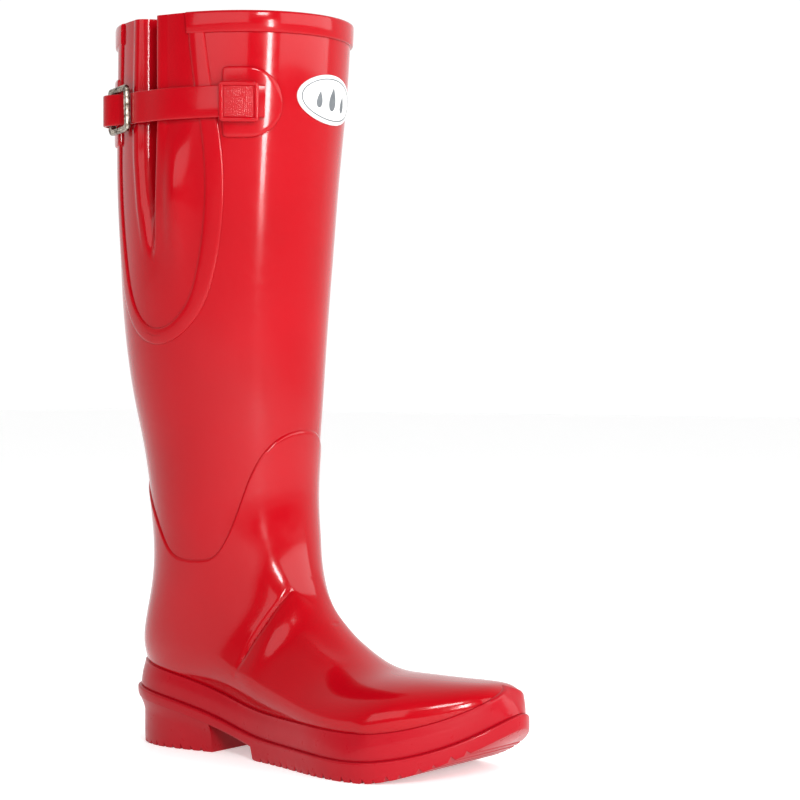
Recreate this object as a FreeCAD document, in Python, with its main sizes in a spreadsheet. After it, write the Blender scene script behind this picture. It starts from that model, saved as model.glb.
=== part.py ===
import FreeCAD, Part
import math
import os
from FreeCAD import Placement, Rotation, Vector

# Rubber rain boot, right foot. Drawn from the rear of the heel (x = 0) to the toe (+x), the outer
# side of the foot at -y, the floor at z = 0. The placements then put the origin under the middle of the
# boot's bounding box.

DRAWN_LENGTH = 261.0
DRAWN_WIDTH = 99.0
DRAWN_HEIGHT = 423.0

# Driving dimensions, in millimetres and degrees.
CELLS = {
    "sole_length": 261, "sole_width": 99, "boot_height": 423,
    "origin_from_heel": 123.5, "origin_from_centre": 2.1,
    "wall_thickness": 2.35, "stiffener_depth": 1.65, "lining_thickness": 0.8,
    "overlay_thickness": 1.0, "layer_gap": 0.05, "lining_gap": 0.25, "board_thickness": 2.1, "footbed_thickness": 4.5,
    "foxing_inset": 3.0, "foxing_thickness": 2.5, "foxing_height": 14.7,
    "heel_length": 72, "heel_inset": 4.0, "heel_seat_thickness": 6.0, "tread_depth": 2.4, "tread_pitch": 8.0,
    "shank_length": 86, "shank_width": 14, "shank_thickness": 1.4,
    "binding_height": 12, "binding_thickness": 1.6, "trim_thickness": 0.9, "patch_thickness": 2.1,
    "strap_height": 18, "strap_bottom": 363.3, "strap_thickness": 1.8,
    "anchor_height": 22.4, "anchor_bottom": 361, "anchor_wall": 2.0,
    "frame_height": 27.0, "frame_length": 23.5, "frame_thickness": 3.0, "frame_bar": 3.6,
    "frame_window": 19.8, "pin_diameter": 2.6, "pin_clearance": 0.07, "buckle_angle": 160, "buckle_roll": 3, "buckle_drop": 0.7,
    "chape_height": 15, "chape_thickness": 1.3,
    "keeper_wall": 1.4, "keeper_gap": 0.35, "keeper_angle": 8,
    "badge_length": 51, "badge_height": 28, "badge_thickness": 1.1, "print_depth": 0.25,
}

doc = FreeCAD.newDocument("rain_boot")
sheet = doc.addObject("Spreadsheet::Sheet", "Sheet")
for row, (alias, value) in enumerate(CELLS.items(), start=1):
    sheet.set(f"A{row}", alias)
    sheet.set(f"B{row}", str(value))
    sheet.setAlias(f"B{row}", alias)
doc.recompute()


def size(alias):
    return float(sheet.get(alias))


SCALE = Vector(size("sole_length") / DRAWN_LENGTH, size("sole_width") / DRAWN_WIDTH,
               size("boot_height") / DRAWN_HEIGHT)
HOME = Vector(-size("origin_from_heel"), -size("origin_from_centre"), 0)
PARTS = []


def scaled(x, y, z):
    return Vector(x * SCALE.x, y * SCALE.y, z * SCALE.z)


def smooth(points, x):
    """Value at x of a smooth curve through points that rise in x."""
    x = min(max(x, points[0][0]), points[-1][0])
    i = max(k for k in range(len(points) - 1) if points[k][0] <= x)
    before, start = points[max(i - 1, 0)], points[i]
    end, after = points[i + 1], points[min(i + 2, len(points) - 1)]
    run = end[0] - start[0]
    t = (x - start[0]) / run
    slope_in = (end[1] - before[1]) / (end[0] - before[0]) * run
    slope_out = (after[1] - start[1]) / (after[0] - start[0]) * run
    return ((2 * t**3 - 3 * t**2 + 1) * start[1] + (t**3 - 2 * t**2 + t) * slope_in
            + (3 * t**2 - 2 * t**3) * end[1] + (t**3 - t**2) * slope_out)


# ---------------------------------------------------------------- the sole's plan and side curves
OUTER_EDGE = [(0, 0), (5, -17), (18, -27), (35, -31), (60, -29.5), (85, -28), (110, -31.5), (145, -41.5),
              (180, -50.5), (200, -49), (222, -36), (242, -17), (257, 2)]
INNER_EDGE = [(261, 13), (257, 26), (243, 38.5), (222, 46.5), (195, 48.5), (165, 46), (130, 38), (95, 32),
              (60, 31.5), (35, 31), (18, 26.5), (5, 16)]
# Height of the ledge that the upper and its foxing stand on, from heel to toe.
LEDGE = [(0, 35), (40, 30), (75, 21.5), (100, 14.5), (125, 12), (150, 11.5), (180, 11), (205, 12),
         (230, 17.5), (250, 27.5), (261, 35.5)]
WAIST_START = 104
TREAD_START = 106
SPRING_START = 197
SPRING_RISE = 27.0


def ledge_height(x):
    return smooth(LEDGE, x)


def tread_height(x):
    """Height of the forepart's tread, which lifts off the floor towards the toe."""
    return SPRING_RISE * (max(x - SPRING_START, 0) / (DRAWN_LENGTH - SPRING_START)) ** 1.8


def plan_points(inset):
    """The sole's outline, drawn in from its edge by the inset."""
    edge = Part.BSplineCurve()
    edge.interpolate(Points=[scaled(x, y, 0) for x, y in OUTER_EDGE + INNER_EDGE], PeriodicFlag=True)
    count = 56
    first, last = edge.FirstParameter, edge.LastParameter
    points = []
    for k in range(count):
        at = first + (last - first) * k / count
        tangent = edge.tangent(at)[0]
        points.append(edge.value(at) + Vector(-tangent.y, tangent.x, 0) * inset)
    return points


def closed_curve(points):
    """Smooth closed curve through evenly spaced points."""
    count = len(points)
    curve = Part.BSplineCurve()
    curve.interpolate(Points=points, PeriodicFlag=True, Parameters=[k / count for k in range(count + 1)])
    return curve


def evenly_spaced(points, count):
    """Points at equal steps along a closed polyline, from its first point on."""
    lengths = [0.0]
    for k, point in enumerate(points):
        lengths.append(lengths[-1] + (points[(k + 1) % len(points)] - point).Length)
    picked = []
    k = 0
    for step in range(count):
        goal = lengths[-1] * step / count
        while lengths[k + 1] < goal:
            k += 1
        part = (goal - lengths[k]) / (lengths[k + 1] - lengths[k])
        start, end = points[k], points[(k + 1) % len(points)]
        picked.append(start + (end - start) * part)
    return picked


def skin(rings):
    """Solid with one smooth side surface through rings of points, closed by its two flat ends."""
    curves = [closed_curve(ring) for ring in rings]
    first = curves[0]
    middles = [sum(ring, Vector()) / len(ring) for ring in rings]
    reaches = [0.0]
    for near, far in zip(rings, rings[1:]):
        step = sum((b - a).Length for a, b in zip(near, far)) / len(near)
        reaches.append(reaches[-1] + step)
    columns = []
    for pole in range(1, first.NbPoles + 1):
        column = Part.BSplineCurve()
        column.interpolate(Points=[curve.getPole(pole) for curve in curves], Parameters=reaches)
        columns.append(column)
    surface = Part.BSplineSurface()
    surface.buildFromPolesMultsKnots([c.getPoles() for c in columns], first.getMultiplicities(),
                                     columns[0].getMultiplicities(), first.getKnots(),
                                     columns[0].getKnots(), first.isPeriodic(), False, first.Degree, 3)
    side = surface.toShape()
    ends = []
    for middle in (middles[0], middles[-1]):
        edge = min((e for e in side.Edges if e.isClosed()), key=lambda e: (e.CenterOfMass - middle).Length)
        ends.append(Part.Face(Part.Wire(edge)))
    skinned = Part.makeCompound([side] + ends)
    skinned.sewShape()
    solid = Part.Solid(Part.Shell(skinned.Faces))
    solid.fix(0.001, 0.001, 0.01)
    return solid if solid.Volume > 0 else solid.reversed()


def plan_prism(inset, bottom, top):
    face = Part.Face(Part.Wire(closed_curve(plan_points(inset)).toShape()))
    face.translate(Vector(0, 0, bottom))
    return face.extrude(Vector(0, 0, top - bottom))


def half_breadth(points, x, side):
    """How far an outline reaches to one side at x (side -1 outer, +1 inner)."""
    on_side = sorted((p.x, side * p.y) for p in points if side * p.y > 0)
    if x <= on_side[0][0] or x >= on_side[-1][0]:
        return 0.0
    i = max(k for k in range(len(on_side) - 1) if on_side[k][0] <= x)
    (x0, y0), (x1, y1) = on_side[i], on_side[i + 1]
    return y0 + (y1 - y0) * (x - x0) / max(x1 - x0, 1e-6)


# ---------------------------------------------------------------- the boot's form
# One row per section from the rim down the shaft, round the heel and out to the toe: rear x, z;
# front x, z; centre y; outer and inner half breadth; where the widest place lies, from the rear;
# roundness of the rear and of the front half (2 is an ellipse, more is squarer).
SECTIONS = [
    (-7.8, 423, 137.4, 423, 2.2, 62.4, 62.4, .50, 2.0, 2.0),
    (-8.2, 379, 134.2, 379, 2.2, 61.2, 61.2, .50, 2.0, 2.0),
    (-8.7, 337, 129.7, 337, 2.0, 59.5, 59.5, .50, 2.0, 2.0),
    (-7.8, 295, 126.0, 295, 1.9, 57.5, 57.5, .50, 2.0, 2.0),
    (-5.6, 252, 122.4, 252, 1.8, 55.0, 55.0, .50, 2.0, 2.0),
    (0.3, 210, 119.7, 210, 1.9, 51.3, 51.3, .50, 2.0, 2.0),
    (7.3, 179, 117.7, 179, 2.0, 47.5, 47.5, .50, 2.0, 2.0),
    (12.8, 148, 116.3, 149, 2.2, 44.5, 44.5, .50, 2.05, 2.0),
    (16.2, 118, 118.2, 126, 2.3, 43.0, 43.0, .49, 2.1, 2.0),
    (13.5, 90, 121.2, 110.5, 2.2, 41.0, 41.0, .47, 2.2, 2.0),
    (6.8, 63, 126.9, 95.5, 1.8, 38.0, 38.0, .46, 2.3, 2.05),
    (6.2, 44.5, 135.0, 83.3, 1.0, 35.5, 35.5, .46, 2.05, 2.1),
    (22.0, 35.5, 146.2, 72.7, 0.3, 34.5, 34.5, .46, 3.4, 2.15),
    (55.0, 30.0, 157.5, 64.3, -0.5, 35.5, 35.5, .45, 4.5, 2.2),
    (92.0, 20.5, 170.0, 57.4, -1.5, 38.5, 38.5, .40, 4.5, 2.2),
    (130.0, 15.0, 183.0, 53.6, -2.0, 42.0, 41.5, .33, 4.5, 2.25),
    (166.0, 14.5, 197.0, 52.6, -1.5, 44.5, 43.5, .30, 4.2, 2.3),
    (196.0, 16.0, 211.0, 51.9, 0.5, 44.0, 43.5, .28, 4.0, 2.35),
    (219.0, 21.5, 224.0, 51.2, 4.5, 36.0, 38.0, .30, 3.5, 2.4),
    (235.0, 27.0, 236.5, 50.6, 9.0, 27.0, 28.5, .34, 3.0, 2.5),
    (246.0, 32.0, 246.8, 49.2, 12.0, 18.0, 19.0, .40, 2.6, 2.5),
    (253.5, 37.0, 252.8, 45.5, 13.0, 9.0, 10.0, .50, 2.2, 2.3),
]
SECTION_POINTS = 40
TRACED_POINTS = 240
FEATHER_INSET = 5.2         # the upper's foot, in from the sole's edge, inside the foxing
FLARE = 0.7                 # how fast the upper may widen above the foxing
BLEND = 7.0                 # softness of that limit
FOXING_DRAWN = 14.7
CLAMP_END = 225             # the toe needs no limit from here on
CLAMP_FADE = 190
CLAMP_START = 10            # nor does the round back of the heel, behind here


def soft_minimum(a, b):
    near = max(BLEND - abs(a - b), 0) / BLEND
    return min(a, b) - near * near * BLEND / 4


def profile_normals(ends, others):
    """Unit normals of the profile through the sections' ends, pointing at the other profile."""
    normals = []
    for i, end in enumerate(ends):
        ahead, behind = ends[min(i + 1, len(ends) - 1)], ends[max(i - 1, 0)]
        run = ahead - behind
        normal = Vector(-run.z, 0, run.x).normalize()
        if normal.dot(others[i] - end) < 0:
            normal = -normal
        normals.append(normal)
    normals[0] = Vector(math.copysign(1, normals[0].x), 0, 0)
    return normals


def section_ring(rear, front, row, depth, feather, lift):
    """One closed section between its rear and front end, sunk by depth at its sides, floor raised by lift."""
    centre, outer, inner, widest, rear_round, front_round = row[4:]
    tip = max(rear.x - 240, 0) / 13
    outer -= depth * (1 - 0.45 * tip)
    inner -= depth * (1 - 0.45 * tip)
    raised = lift / (front - rear).Length
    points = []
    for k in range(TRACED_POINTS):
        angle = 2 * math.pi * k / TRACED_POINTS
        along, across = math.cos(angle), math.sin(angle)
        power = 2 / (front_round if along >= 0 else rear_round)
        reach = (1 - widest) if along >= 0 else -widest
        place = widest + reach * abs(along) ** power
        breadth = (inner if across >= 0 else outer) * abs(across) ** power
        spot = rear + (front - rear) * math.hypot(place, raised)
        if spot.z < 150 and spot.x < CLAMP_END:
            side = 1 if across >= 0 else -1
            limit = half_breadth(feather, spot.x, side) - side * centre
            limit += FLARE * max(spot.z - ledge_height(spot.x) - FOXING_DRAWN, 0)
            limit += 20 * max(spot.x - CLAMP_FADE, 0) / (CLAMP_END - CLAMP_FADE)
            limit += 3 * max(CLAMP_START - spot.x, 0)
            breadth = max(min(breadth, soft_minimum(breadth, limit)), 0) if limit > 0 else 0
        points.append(scaled(spot.x, centre + math.copysign(breadth, across), spot.z))
    return evenly_spaced(points, SECTION_POINTS)


def form(depth, floor_depth=None):
    """The boot's closed form, sunk by depth all over, and by floor_depth at the bottom of the foot."""
    floor_depth = depth if floor_depth is None else floor_depth
    rears = [Vector(r[0], 0, r[1]) for r in SECTIONS]
    fronts = [Vector(r[2], 0, r[3]) for r in SECTIONS]
    rear_normals = profile_normals(rears, fronts)
    front_normals = profile_normals(fronts, rears)
    feather = [Vector(p.x / SCALE.x, p.y / SCALE.y, 0) for p in plan_points(FEATHER_INSET + depth)]
    rings = []
    for i, row in enumerate(SECTIONS):
        on_floor = min(max(row[0] - 6, 0) / 30, 1) if i > 10 else 0
        rear = rears[i] + rear_normals[i] * depth
        front = fronts[i] + front_normals[i] * depth
        back = depth * min(max(row[0] - 225, 0) / 28, 1)
        rear.x -= back
        front.x -= back
        if (front - rear).Length < 4:
            middle = (front + rear) * 0.5
            rear, front = middle - Vector(0, 0, 2), middle + Vector(0, 0, 2)
        rings.append(section_ring(rear, front, row, depth, feather, (floor_depth - depth) * on_floor))
    return skin(rings)


# ---------------------------------------------------------------- helpers for the document
def keep(feature, label):
    """Take a finished sub-part into the list that is written, and put it in place."""
    feature.Label = label
    PARTS.append(feature)
    return feature


def shaped(label, shape):
    feature = doc.addObject("Part::Feature", label + "_shape")
    feature.Shape = shape
    feature.Label = label
    return feature


def plane_of(body, role):
    return next(f for f in body.Origin.OriginFeatures if f.Role == role)


def sketch_on(body, role, name, geometry, height=None):
    """Sketch on one of the body's own planes, moved along its normal by an expression."""
    sketch = body.newObject("Sketcher::SketchObject", name)
    sketch.AttachmentSupport = (plane_of(body, role), "")
    sketch.MapMode = "FlatFace"
    if height:
        sketch.setExpression("AttachmentOffset.Base.z", height)
    for piece in geometry:
        sketch.addGeometry(piece, False)
    return sketch


def pad(body, sketch, name, length, both_ways=False):
    feature = body.newObject("PartDesign::Pad", name)
    feature.Profile = sketch
    feature.setExpression("Length", length)
    feature.Midplane = both_ways
    return feature


def pocket(body, sketch, name, length=None, reverse=False):
    """Pocket of a given depth, or right through both ways when no length is given."""
    feature = body.newObject("PartDesign::Pocket", name)
    feature.Profile = sketch
    if length:
        feature.setExpression("Length", length)
        feature.Reversed = reverse
    else:
        feature.Type = "ThroughAll"
        feature.Midplane = True
    return feature


def polyline(points, closed=True):
    ends = points[1:] + points[:1] if closed else points[1:]
    return [Part.LineSegment(a, b) for a, b in zip(points, ends)]


def open_curve(points):
    curve = Part.BSplineCurve()
    curve.interpolate(Points=points)
    return curve


def blank(name):
    return doc.addObject("PartDesign::Body", name)


def cut(label, base, tool):
    feature = doc.addObject("Part::Cut", label)
    feature.Base = base
    feature.Tool = tool
    return feature


def common(label, base, tool):
    feature = doc.addObject("Part::Common", label)
    feature.Base = base
    feature.Tool = tool
    return feature


def span(first, last, count):
    return [first + (last - first) * k / (count - 1) for k in range(count)]


# ---------------------------------------------------------------- the sole unit
def ledge_curve(rise):
    return open_curve([Vector(x * SCALE.x, (ledge_height(x) + rise) * SCALE.z, 0) for x in span(-4, 266, 46)])


def above_line(rise, ceiling=70):
    """Side view, in a sketch's own x and y, of everything above the ledge line raised by rise."""
    line = ledge_curve(rise)
    left, right = line.StartPoint, line.EndPoint
    return [line] + polyline([right, Vector(right.x, ceiling, 0), Vector(left.x, ceiling, 0), left], False)


def tread_line():
    """Underside of the sole from heel to toe, with the tread's notches."""
    pitch, deep = size("tread_pitch"), size("tread_depth")
    seat = size("heel_seat_thickness")
    heel = [Vector(x, ledge_height(x) - seat, 0) for x in (-4, 20, 40, 60, size("heel_length"))]
    waist = [Vector(WAIST_START, tread_height(WAIST_START) + 7.5, 0), Vector(TREAD_START, 0.4, 0),
             Vector(TREAD_START + 3, 0, 0)]
    tread = []
    x = TREAD_START + 6.5
    while x < DRAWN_LENGTH - 9:
        floor = tread_height(x)
        tread.append(Vector(x, floor, 0))
        tread.append(Vector(x + 1.3, floor + deep, 0))
        tread.append(Vector(x + 2.6, tread_height(x + 2.6), 0))
        x += pitch
    toe = [Vector(x, tread_height(x), 0) for x in (256, 268)]
    return [Vector(p.x * SCALE.x, p.y * SCALE.z, 0) for p in heel + waist + tread + toe]


def make_outsole():
    body = blank("outsole_body")
    outline = sketch_on(body, "XY_Plane", "sole_outline", [closed_curve(plan_points(0))])
    pad(body, outline, "sole_blank", "Sheet.boot_height * 45 / 423")
    pocket(body, sketch_on(body, "XZ_Plane", "over_ledge", above_line(0)), "ledge_cut")
    under = tread_line()
    under = under + [Vector(under[-1].x, -5, 0), Vector(under[0].x, -5, 0)]
    pocket(body, sketch_on(body, "XZ_Plane", "under_tread", polyline(under)), "tread_cut")
    return keep(body, "outsole")


def make_heel_block():
    """Block heel, set in from the ledge, with notches across its foot."""
    body = blank("heel_block_body")
    inset = size("heel_inset")
    outline = sketch_on(body, "XY_Plane", "heel_outline", [closed_curve(plan_points(inset))])
    pad(body, outline, "heel_blank", "Sheet.boot_height * 36 / 423")
    breast = size("heel_length") - 2
    seat = [Vector(x * SCALE.x, (ledge_height(x) - size("heel_seat_thickness")) * SCALE.z, 0)
            for x in (-4, 20, 40, 60, size("heel_length"))]
    front = Vector(290, 0, 0)
    over = seat + [Vector(breast + 2, -2, 0), Vector(front.x, -2, 0), Vector(front.x, 60, 0),
                   Vector(seat[0].x, 60, 0)]
    pocket(body, sketch_on(body, "XZ_Plane", "heel_seat", polyline(over)), "seat_cut")
    deep = size("tread_depth")
    notches = []
    for x in span(14, 62, 7):
        corners = [Vector(x, -1, 0), Vector(x, 0, 0), Vector(x + 1.3, deep, 0), Vector(x + 2.6, 0, 0),
                   Vector(x + 2.6, -1, 0)]
        notches += polyline([Vector(p.x * SCALE.x, p.y, 0) for p in corners])
    pocket(body, sketch_on(body, "XZ_Plane", "heel_notches", notches), "notch_cut")
    return keep(body, "heel_block")


def over_ledge(rise):
    """Everything above the ledge line raised by rise, as a solid."""
    face = Part.Face(Part.Wire([edge.toShape() for edge in above_line(rise, 90)]))
    face.rotate(Vector(), Vector(1, 0, 0), 90)
    face.translate(Vector(0, 100, 0))
    return face.extrude(Vector(0, -200, 0))


def make_foxing(overlay_form):
    """Rubber band round the foot, standing on the ledge."""
    body = blank("foxing_blank")
    ring = [closed_curve(plan_points(size("foxing_inset"))),
            closed_curve(plan_points(size("foxing_inset") + size("foxing_thickness")))]
    pad(body, sketch_on(body, "XY_Plane", "foxing_outline", ring), "foxing_ring",
        "Sheet.boot_height * 70 / 423")
    pocket(body, sketch_on(body, "XZ_Plane", "over_foxing", above_line(size("foxing_height"), 90)),
           "top_cut")
    low = above_line(0, -10)
    pocket(body, sketch_on(body, "XZ_Plane", "under_foxing", low), "ledge_trim")
    return keep(cut("foxing_cut", body, overlay_form), "foxing_band")


def shank_line(rise):
    start = 52
    xs = span(start, start + size("shank_length"), 9)
    return [Vector(x * SCALE.x, (ledge_height(x) + rise) * SCALE.z, 0) for x in xs]


def make_shank():
    """Steel spring that stiffens the waist, lying on the outsole."""
    body = blank("shank_body")
    low, high = shank_line(0.2), shank_line(0.2 + size("shank_thickness"))
    lower, upper = open_curve(low), open_curve(high)
    outline = [lower, upper] + polyline([low[0], high[0]], False) + polyline([low[-1], high[-1]], False)
    pad(body, sketch_on(body, "XZ_Plane", "shank_side", outline), "shank_strip", "Sheet.shank_width", True)
    return keep(body, "shank")


def make_filler(upper_form, overlay_form, shank):
    """Filler between the lasted upper and the outsole."""
    body = blank("filler_blank")
    inset = size("foxing_inset") + size("foxing_thickness")
    pad(body, sketch_on(body, "XY_Plane", "filler_outline", [closed_curve(plan_points(inset))]),
        "filler_pad", "Sheet.boot_height * 60 / 423")
    pocket(body, sketch_on(body, "XZ_Plane", "over_filler", above_line(6)), "filler_top")
    pocket(body, sketch_on(body, "XZ_Plane", "under_filler", above_line(0, -10)), "filler_base")
    under_foot = cut("filler_under_foot", body, shaped("upper_above_filler", upper_form))
    under_layer = cut("filler_under_overlay", under_foot, overlay_form)
    return keep(cut("filler_cut", under_layer, shank), "bottom_filler")


def make_inner_sole(label, around, above, inset, rise):
    """Layer of the inner sole between two forms, within an inset outline."""
    column = shaped(label + "_column", plan_prism(inset, 5, 60).cut(over_ledge(rise)))
    return keep(cut(label + "_top", common(label + "_layer", around, column), above), label)


# ---------------------------------------------------------------- the upper
# The overlay's top line, seen from the side: high in front, low over the ankle, high behind.
OVERLAY_TOP = [(-16, 167), (8, 166), (24, 151), (40, 131), (51, 118), (63, 113.5), (76, 113.5), (86, 118),
               (95, 136), (102, 159), (109, 175.5), (116, 185.5), (124, 191), (140, 192)]


def overlay_side():
    line = open_curve([scaled(x, 0, z) for x, z in OVERLAY_TOP])
    left, right = line.StartPoint, line.EndPoint
    base = [right, Vector(300, 0, right.z), Vector(300, 0, 0), Vector(left.x, 0, 0), left]
    edges = [line.toShape()] + [Part.LineSegment(a, b).toShape() for a, b in zip(base, base[1:])]
    face = Part.Face(Part.Wire(edges))
    face.translate(Vector(0, -90, 0))
    return face.extrude(Vector(0, 180, 0))


def shaft(z):
    """Centre x, centre y and the two half axes of the shaft at height z."""
    rows = [r for r in reversed(SECTIONS) if r[1] >= 148]
    rear = smooth([(r[1], r[0]) for r in rows], z)
    front = smooth([(r[1], r[2]) for r in rows], z)
    half = smooth([(r[1], r[5]) for r in rows], z)
    centre = smooth([(r[1], r[4]) for r in rows], z)
    return (front + rear) / 2, centre, (front - rear) / 2, half


def shaft_point(angle, z, offset=0.0):
    """Point on the shaft; the angle is 0 at the front and -90 at the outer side."""
    x, y, long_half, short_half = shaft(z)
    c, s = math.cos(math.radians(angle)), math.sin(math.radians(angle))
    normal = Vector(c / long_half, s / short_half, 0).normalize()
    spot = Vector(x + long_half * c, y + short_half * s, 0) + normal * offset
    return scaled(spot.x, spot.y, z), normal


def window_prism(angle, z, wire_points, reach=45):
    """Prism that cuts an outline, given in mm to the front and up, through one side of the shaft."""
    spot, normal = shaft_point(angle, z)
    along = Vector(-normal.y, normal.x, 0)
    corners = [spot + along * u + Vector(0, 0, v) - normal * reach for u, v in wire_points]
    face = Part.Face(Part.makePolygon(corners + [corners[0]]))
    return face.extrude(normal * (reach + 20))


# Half of the gusset's tongue shape: half width and height, from its foot to above the rim.
TONGUE = [(0, 241.5), (10, 243.5), (19, 250), (26.5, 260), (32, 275), (36.5, 297), (39.3, 322),
          (39.6, 347), (36.6, 383), (34.2, 409), (33.2, 432)]
GUSSET_ANGLE = -97
TRIM_HALF_WIDTH = 4.5


def tongue_prism(offset):
    """Prism through the outer wall with the gusset's tongue shape, grown by offset."""
    half = TONGUE[1:]
    line = open_curve([Vector(-u, 0, z) for u, z in reversed(half)] + [Vector(0, 0, TONGUE[0][1])]
                      + [Vector(u, 0, z) for u, z in half])
    grown = []
    for k in range(41):
        at = line.FirstParameter + (line.LastParameter - line.FirstParameter) * k / 40
        tangent = line.tangent(at)[0]
        grown.append(line.value(at) + Vector(tangent.z, 0, -tangent.x) * offset)
    edge = open_curve(grown)
    closing = Part.LineSegment(edge.EndPoint, edge.StartPoint)
    face = Part.Face(Part.Wire([edge.toShape(), closing.toShape()]))
    x, y, _, _ = shaft(340)
    turn = Placement(Vector(x, y, 0), Rotation(Vector(0, 0, 1), GUSSET_ANGLE + 90))
    face.Placement = turn
    return face.extrude(turn.Rotation.multVec(Vector(0, -110, 0)))


def make_gusset_panel(outer, inner, opening):
    """Expansion panel, with its pleat folded inwards from the rim down."""
    patch = outer.common(opening).cut(inner)
    spot, normal = shaft_point(GUSSET_ANGLE + 4, 400)
    along = Vector(-normal.y, normal.x, 0)

    def wedge(mouth, depth, low, high):
        """Tapered fold: a mouth on the surface and a ridge sunk by depth at the top, none at the foot."""
        top = [spot + along * mouth + normal * 6, spot - along * mouth + normal * 6, spot - normal * depth]
        top = [Vector(p.x, p.y, high) for p in top]
        foot, _ = shaft_point(GUSSET_ANGLE - 3, low)
        base = [foot + along * 0.4 + normal * 6, foot - along * 0.4 + normal * 6, foot + normal * 1.0]
        return Part.makeLoft([Part.makePolygon(r + [r[0]]) for r in (base, top)], True, True)

    rim = size("boot_height")
    fold = wedge(5.8, 26, 284, rim).common(inner)
    mouth = wedge(3.6, 21, 292, rim + 1)
    return keep(shaped("gusset_panel_shape", patch.fuse(fold).cut(mouth)), "gusset_panel")


# ---------------------------------------------------------------- strap, buckle and keeper
def d_outline(flat, width, half_height):
    """D shape with its flat side at u = flat, bulging by width (negative to bulge to the rear)."""
    arc = [(flat + width * (0.45 + 0.55 * math.cos(a)), half_height * math.sin(a))
           for a in span(math.pi / 2, -math.pi / 2, 19)]
    return [(flat, half_height)] + arc + [(flat, -half_height)]


STRAP_LEVEL = 372.3
FRONT_BAR_ANGLE = -109.0    # where the strap meets the buckle
FRONT_BAR_OFFSET = 5.4


def buckle_places():
    """Axis point of the buckle's pin, and the directions to its rear and outwards."""
    turn = math.radians(size("buckle_angle"))
    rearward = Vector(math.cos(turn), math.sin(turn), 0)
    outward = Vector(-math.sin(turn), math.cos(turn), 0)
    if outward.y > 0:
        outward = -outward
    bar, _ = shaft_point(FRONT_BAR_ANGLE, STRAP_LEVEL, FRONT_BAR_OFFSET)
    pin = bar + rearward * (size("frame_length") - 1.5 - 2.2)
    return pin, rearward, outward


def tail_circle():
    """Centre and radius of the shaft's round rear at the strap's height."""
    x, y, long_half, short_half = shaft(STRAP_LEVEL)
    radius = short_half ** 2 / long_half
    return Vector(x - long_half + radius, y, 0), radius


def tail_point(angle, offset):
    centre, radius = tail_circle()
    turn = math.radians(angle)
    return centre + Vector(math.cos(turn), math.sin(turn), 0) * (radius + offset)


def flat(point):
    return Vector(point.x, point.y, 0)


def strap_path():
    """The strap's centre line in plan, from its front end over the gusset and buckle to its tail."""
    half = size("strap_thickness") / 2
    pin, rearward, outward = buckle_places()
    patch = size("patch_thickness")
    path = [flat(shaft_point(a, STRAP_LEVEL, o + half)[0]) for a, o in
            ((-37.5, patch + 0.8), (-44, patch + 0.8), (-50, patch + 0.8), (-56, patch + 0.8),
             (-66, 1.7), (-78, 1.3), (-90, 1.3), (-99, 1.4))]
    for along, out in ((-25.5, -2.9), (-19.8, -3.0), (-15.5, -2.6), (-9, 0.6), (-3.5, 3.5), (0.6, 4.0)):
        path.append(flat(pin + rearward * along + outward * out))
    for along, out in ((4.6, 1.9), (8.5, -3.4)):
        path.append(flat(pin + rearward * along + outward * out))
    path += [flat(shaft_point(a, STRAP_LEVEL, o + half)[0]) for a, o in ((-140.5, 4.3), (-147.5, 4.1), (-153.5, 3.7))]
    tail = size("keeper_gap") * 2 + size("keeper_wall") + half + 0.15
    path += [flat(tail_point(a, o)) for a, o in ((-158, tail + 0.3), (-165, tail), (-171, tail),
                                                 (-178, tail), (-185, tail), (-191, tail))]
    return path


def ribbon(path, thickness, count=64):
    """Outline, in plan, of a strip of even thickness that follows a smooth path."""
    line = open_curve(path)
    sides = [[], []]
    for at in span(line.FirstParameter, line.LastParameter, count):
        tangent = line.tangent(at)[0]
        normal = Vector(-tangent.y, tangent.x, 0)
        for side, sign in zip(sides, (1, -1)):
            side.append(line.value(at) + normal * (sign * thickness / 2))
    left, right = open_curve(sides[0]), open_curve(sides[1])
    caps = [Part.LineSegment(sides[0][0], sides[1][0]), Part.LineSegment(sides[0][-1], sides[1][-1])]
    return [left, right] + caps


def make_strap():
    body = blank("strap_body")
    sketch = sketch_on(body, "XY_Plane", "strap_plan", ribbon(strap_path(), size("strap_thickness")),
                       "Sheet.strap_bottom")
    pad(body, sketch, "strap_band", "Sheet.strap_height")
    return keep(body, "strap")


def rounded_box(x0, x1, z0, z1, radius):
    """Rounded rectangle in a sketch's x and y."""
    def corner(x, z, start):
        return Part.ArcOfCircle(Part.Circle(Vector(x, z, 0), Vector(0, 0, 1), radius),
                                math.radians(start), math.radians(start + 90))

    arcs = [corner(x1 - radius, z1 - radius, 0), corner(x0 + radius, z1 - radius, 90),
            corner(x0 + radius, z0 + radius, 180), corner(x1 - radius, z0 + radius, 270)]
    lines = [Part.LineSegment(Vector(x1 - radius, z1, 0), Vector(x0 + radius, z1, 0)),
             Part.LineSegment(Vector(x0, z1 - radius, 0), Vector(x0, z0 + radius, 0)),
             Part.LineSegment(Vector(x0 + radius, z0, 0), Vector(x1 - radius, z0, 0)),
             Part.LineSegment(Vector(x1, z0 + radius, 0), Vector(x1, z1 - radius, 0))]
    return arcs + lines


def buckle_placement():
    """Stands the buckle's own frame (x rearwards, y outwards, z up) at its pin, with a slight roll."""
    pin, rearward, outward = buckle_places()
    turn = Rotation(rearward, outward, Vector(0, 0, 1), "ZXY")
    roll = Rotation(Vector(0, 1, 0), size("buckle_roll"))
    return Placement(Vector(pin.x, pin.y, STRAP_LEVEL - size("buckle_drop")) + HOME, turn * roll)


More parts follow.
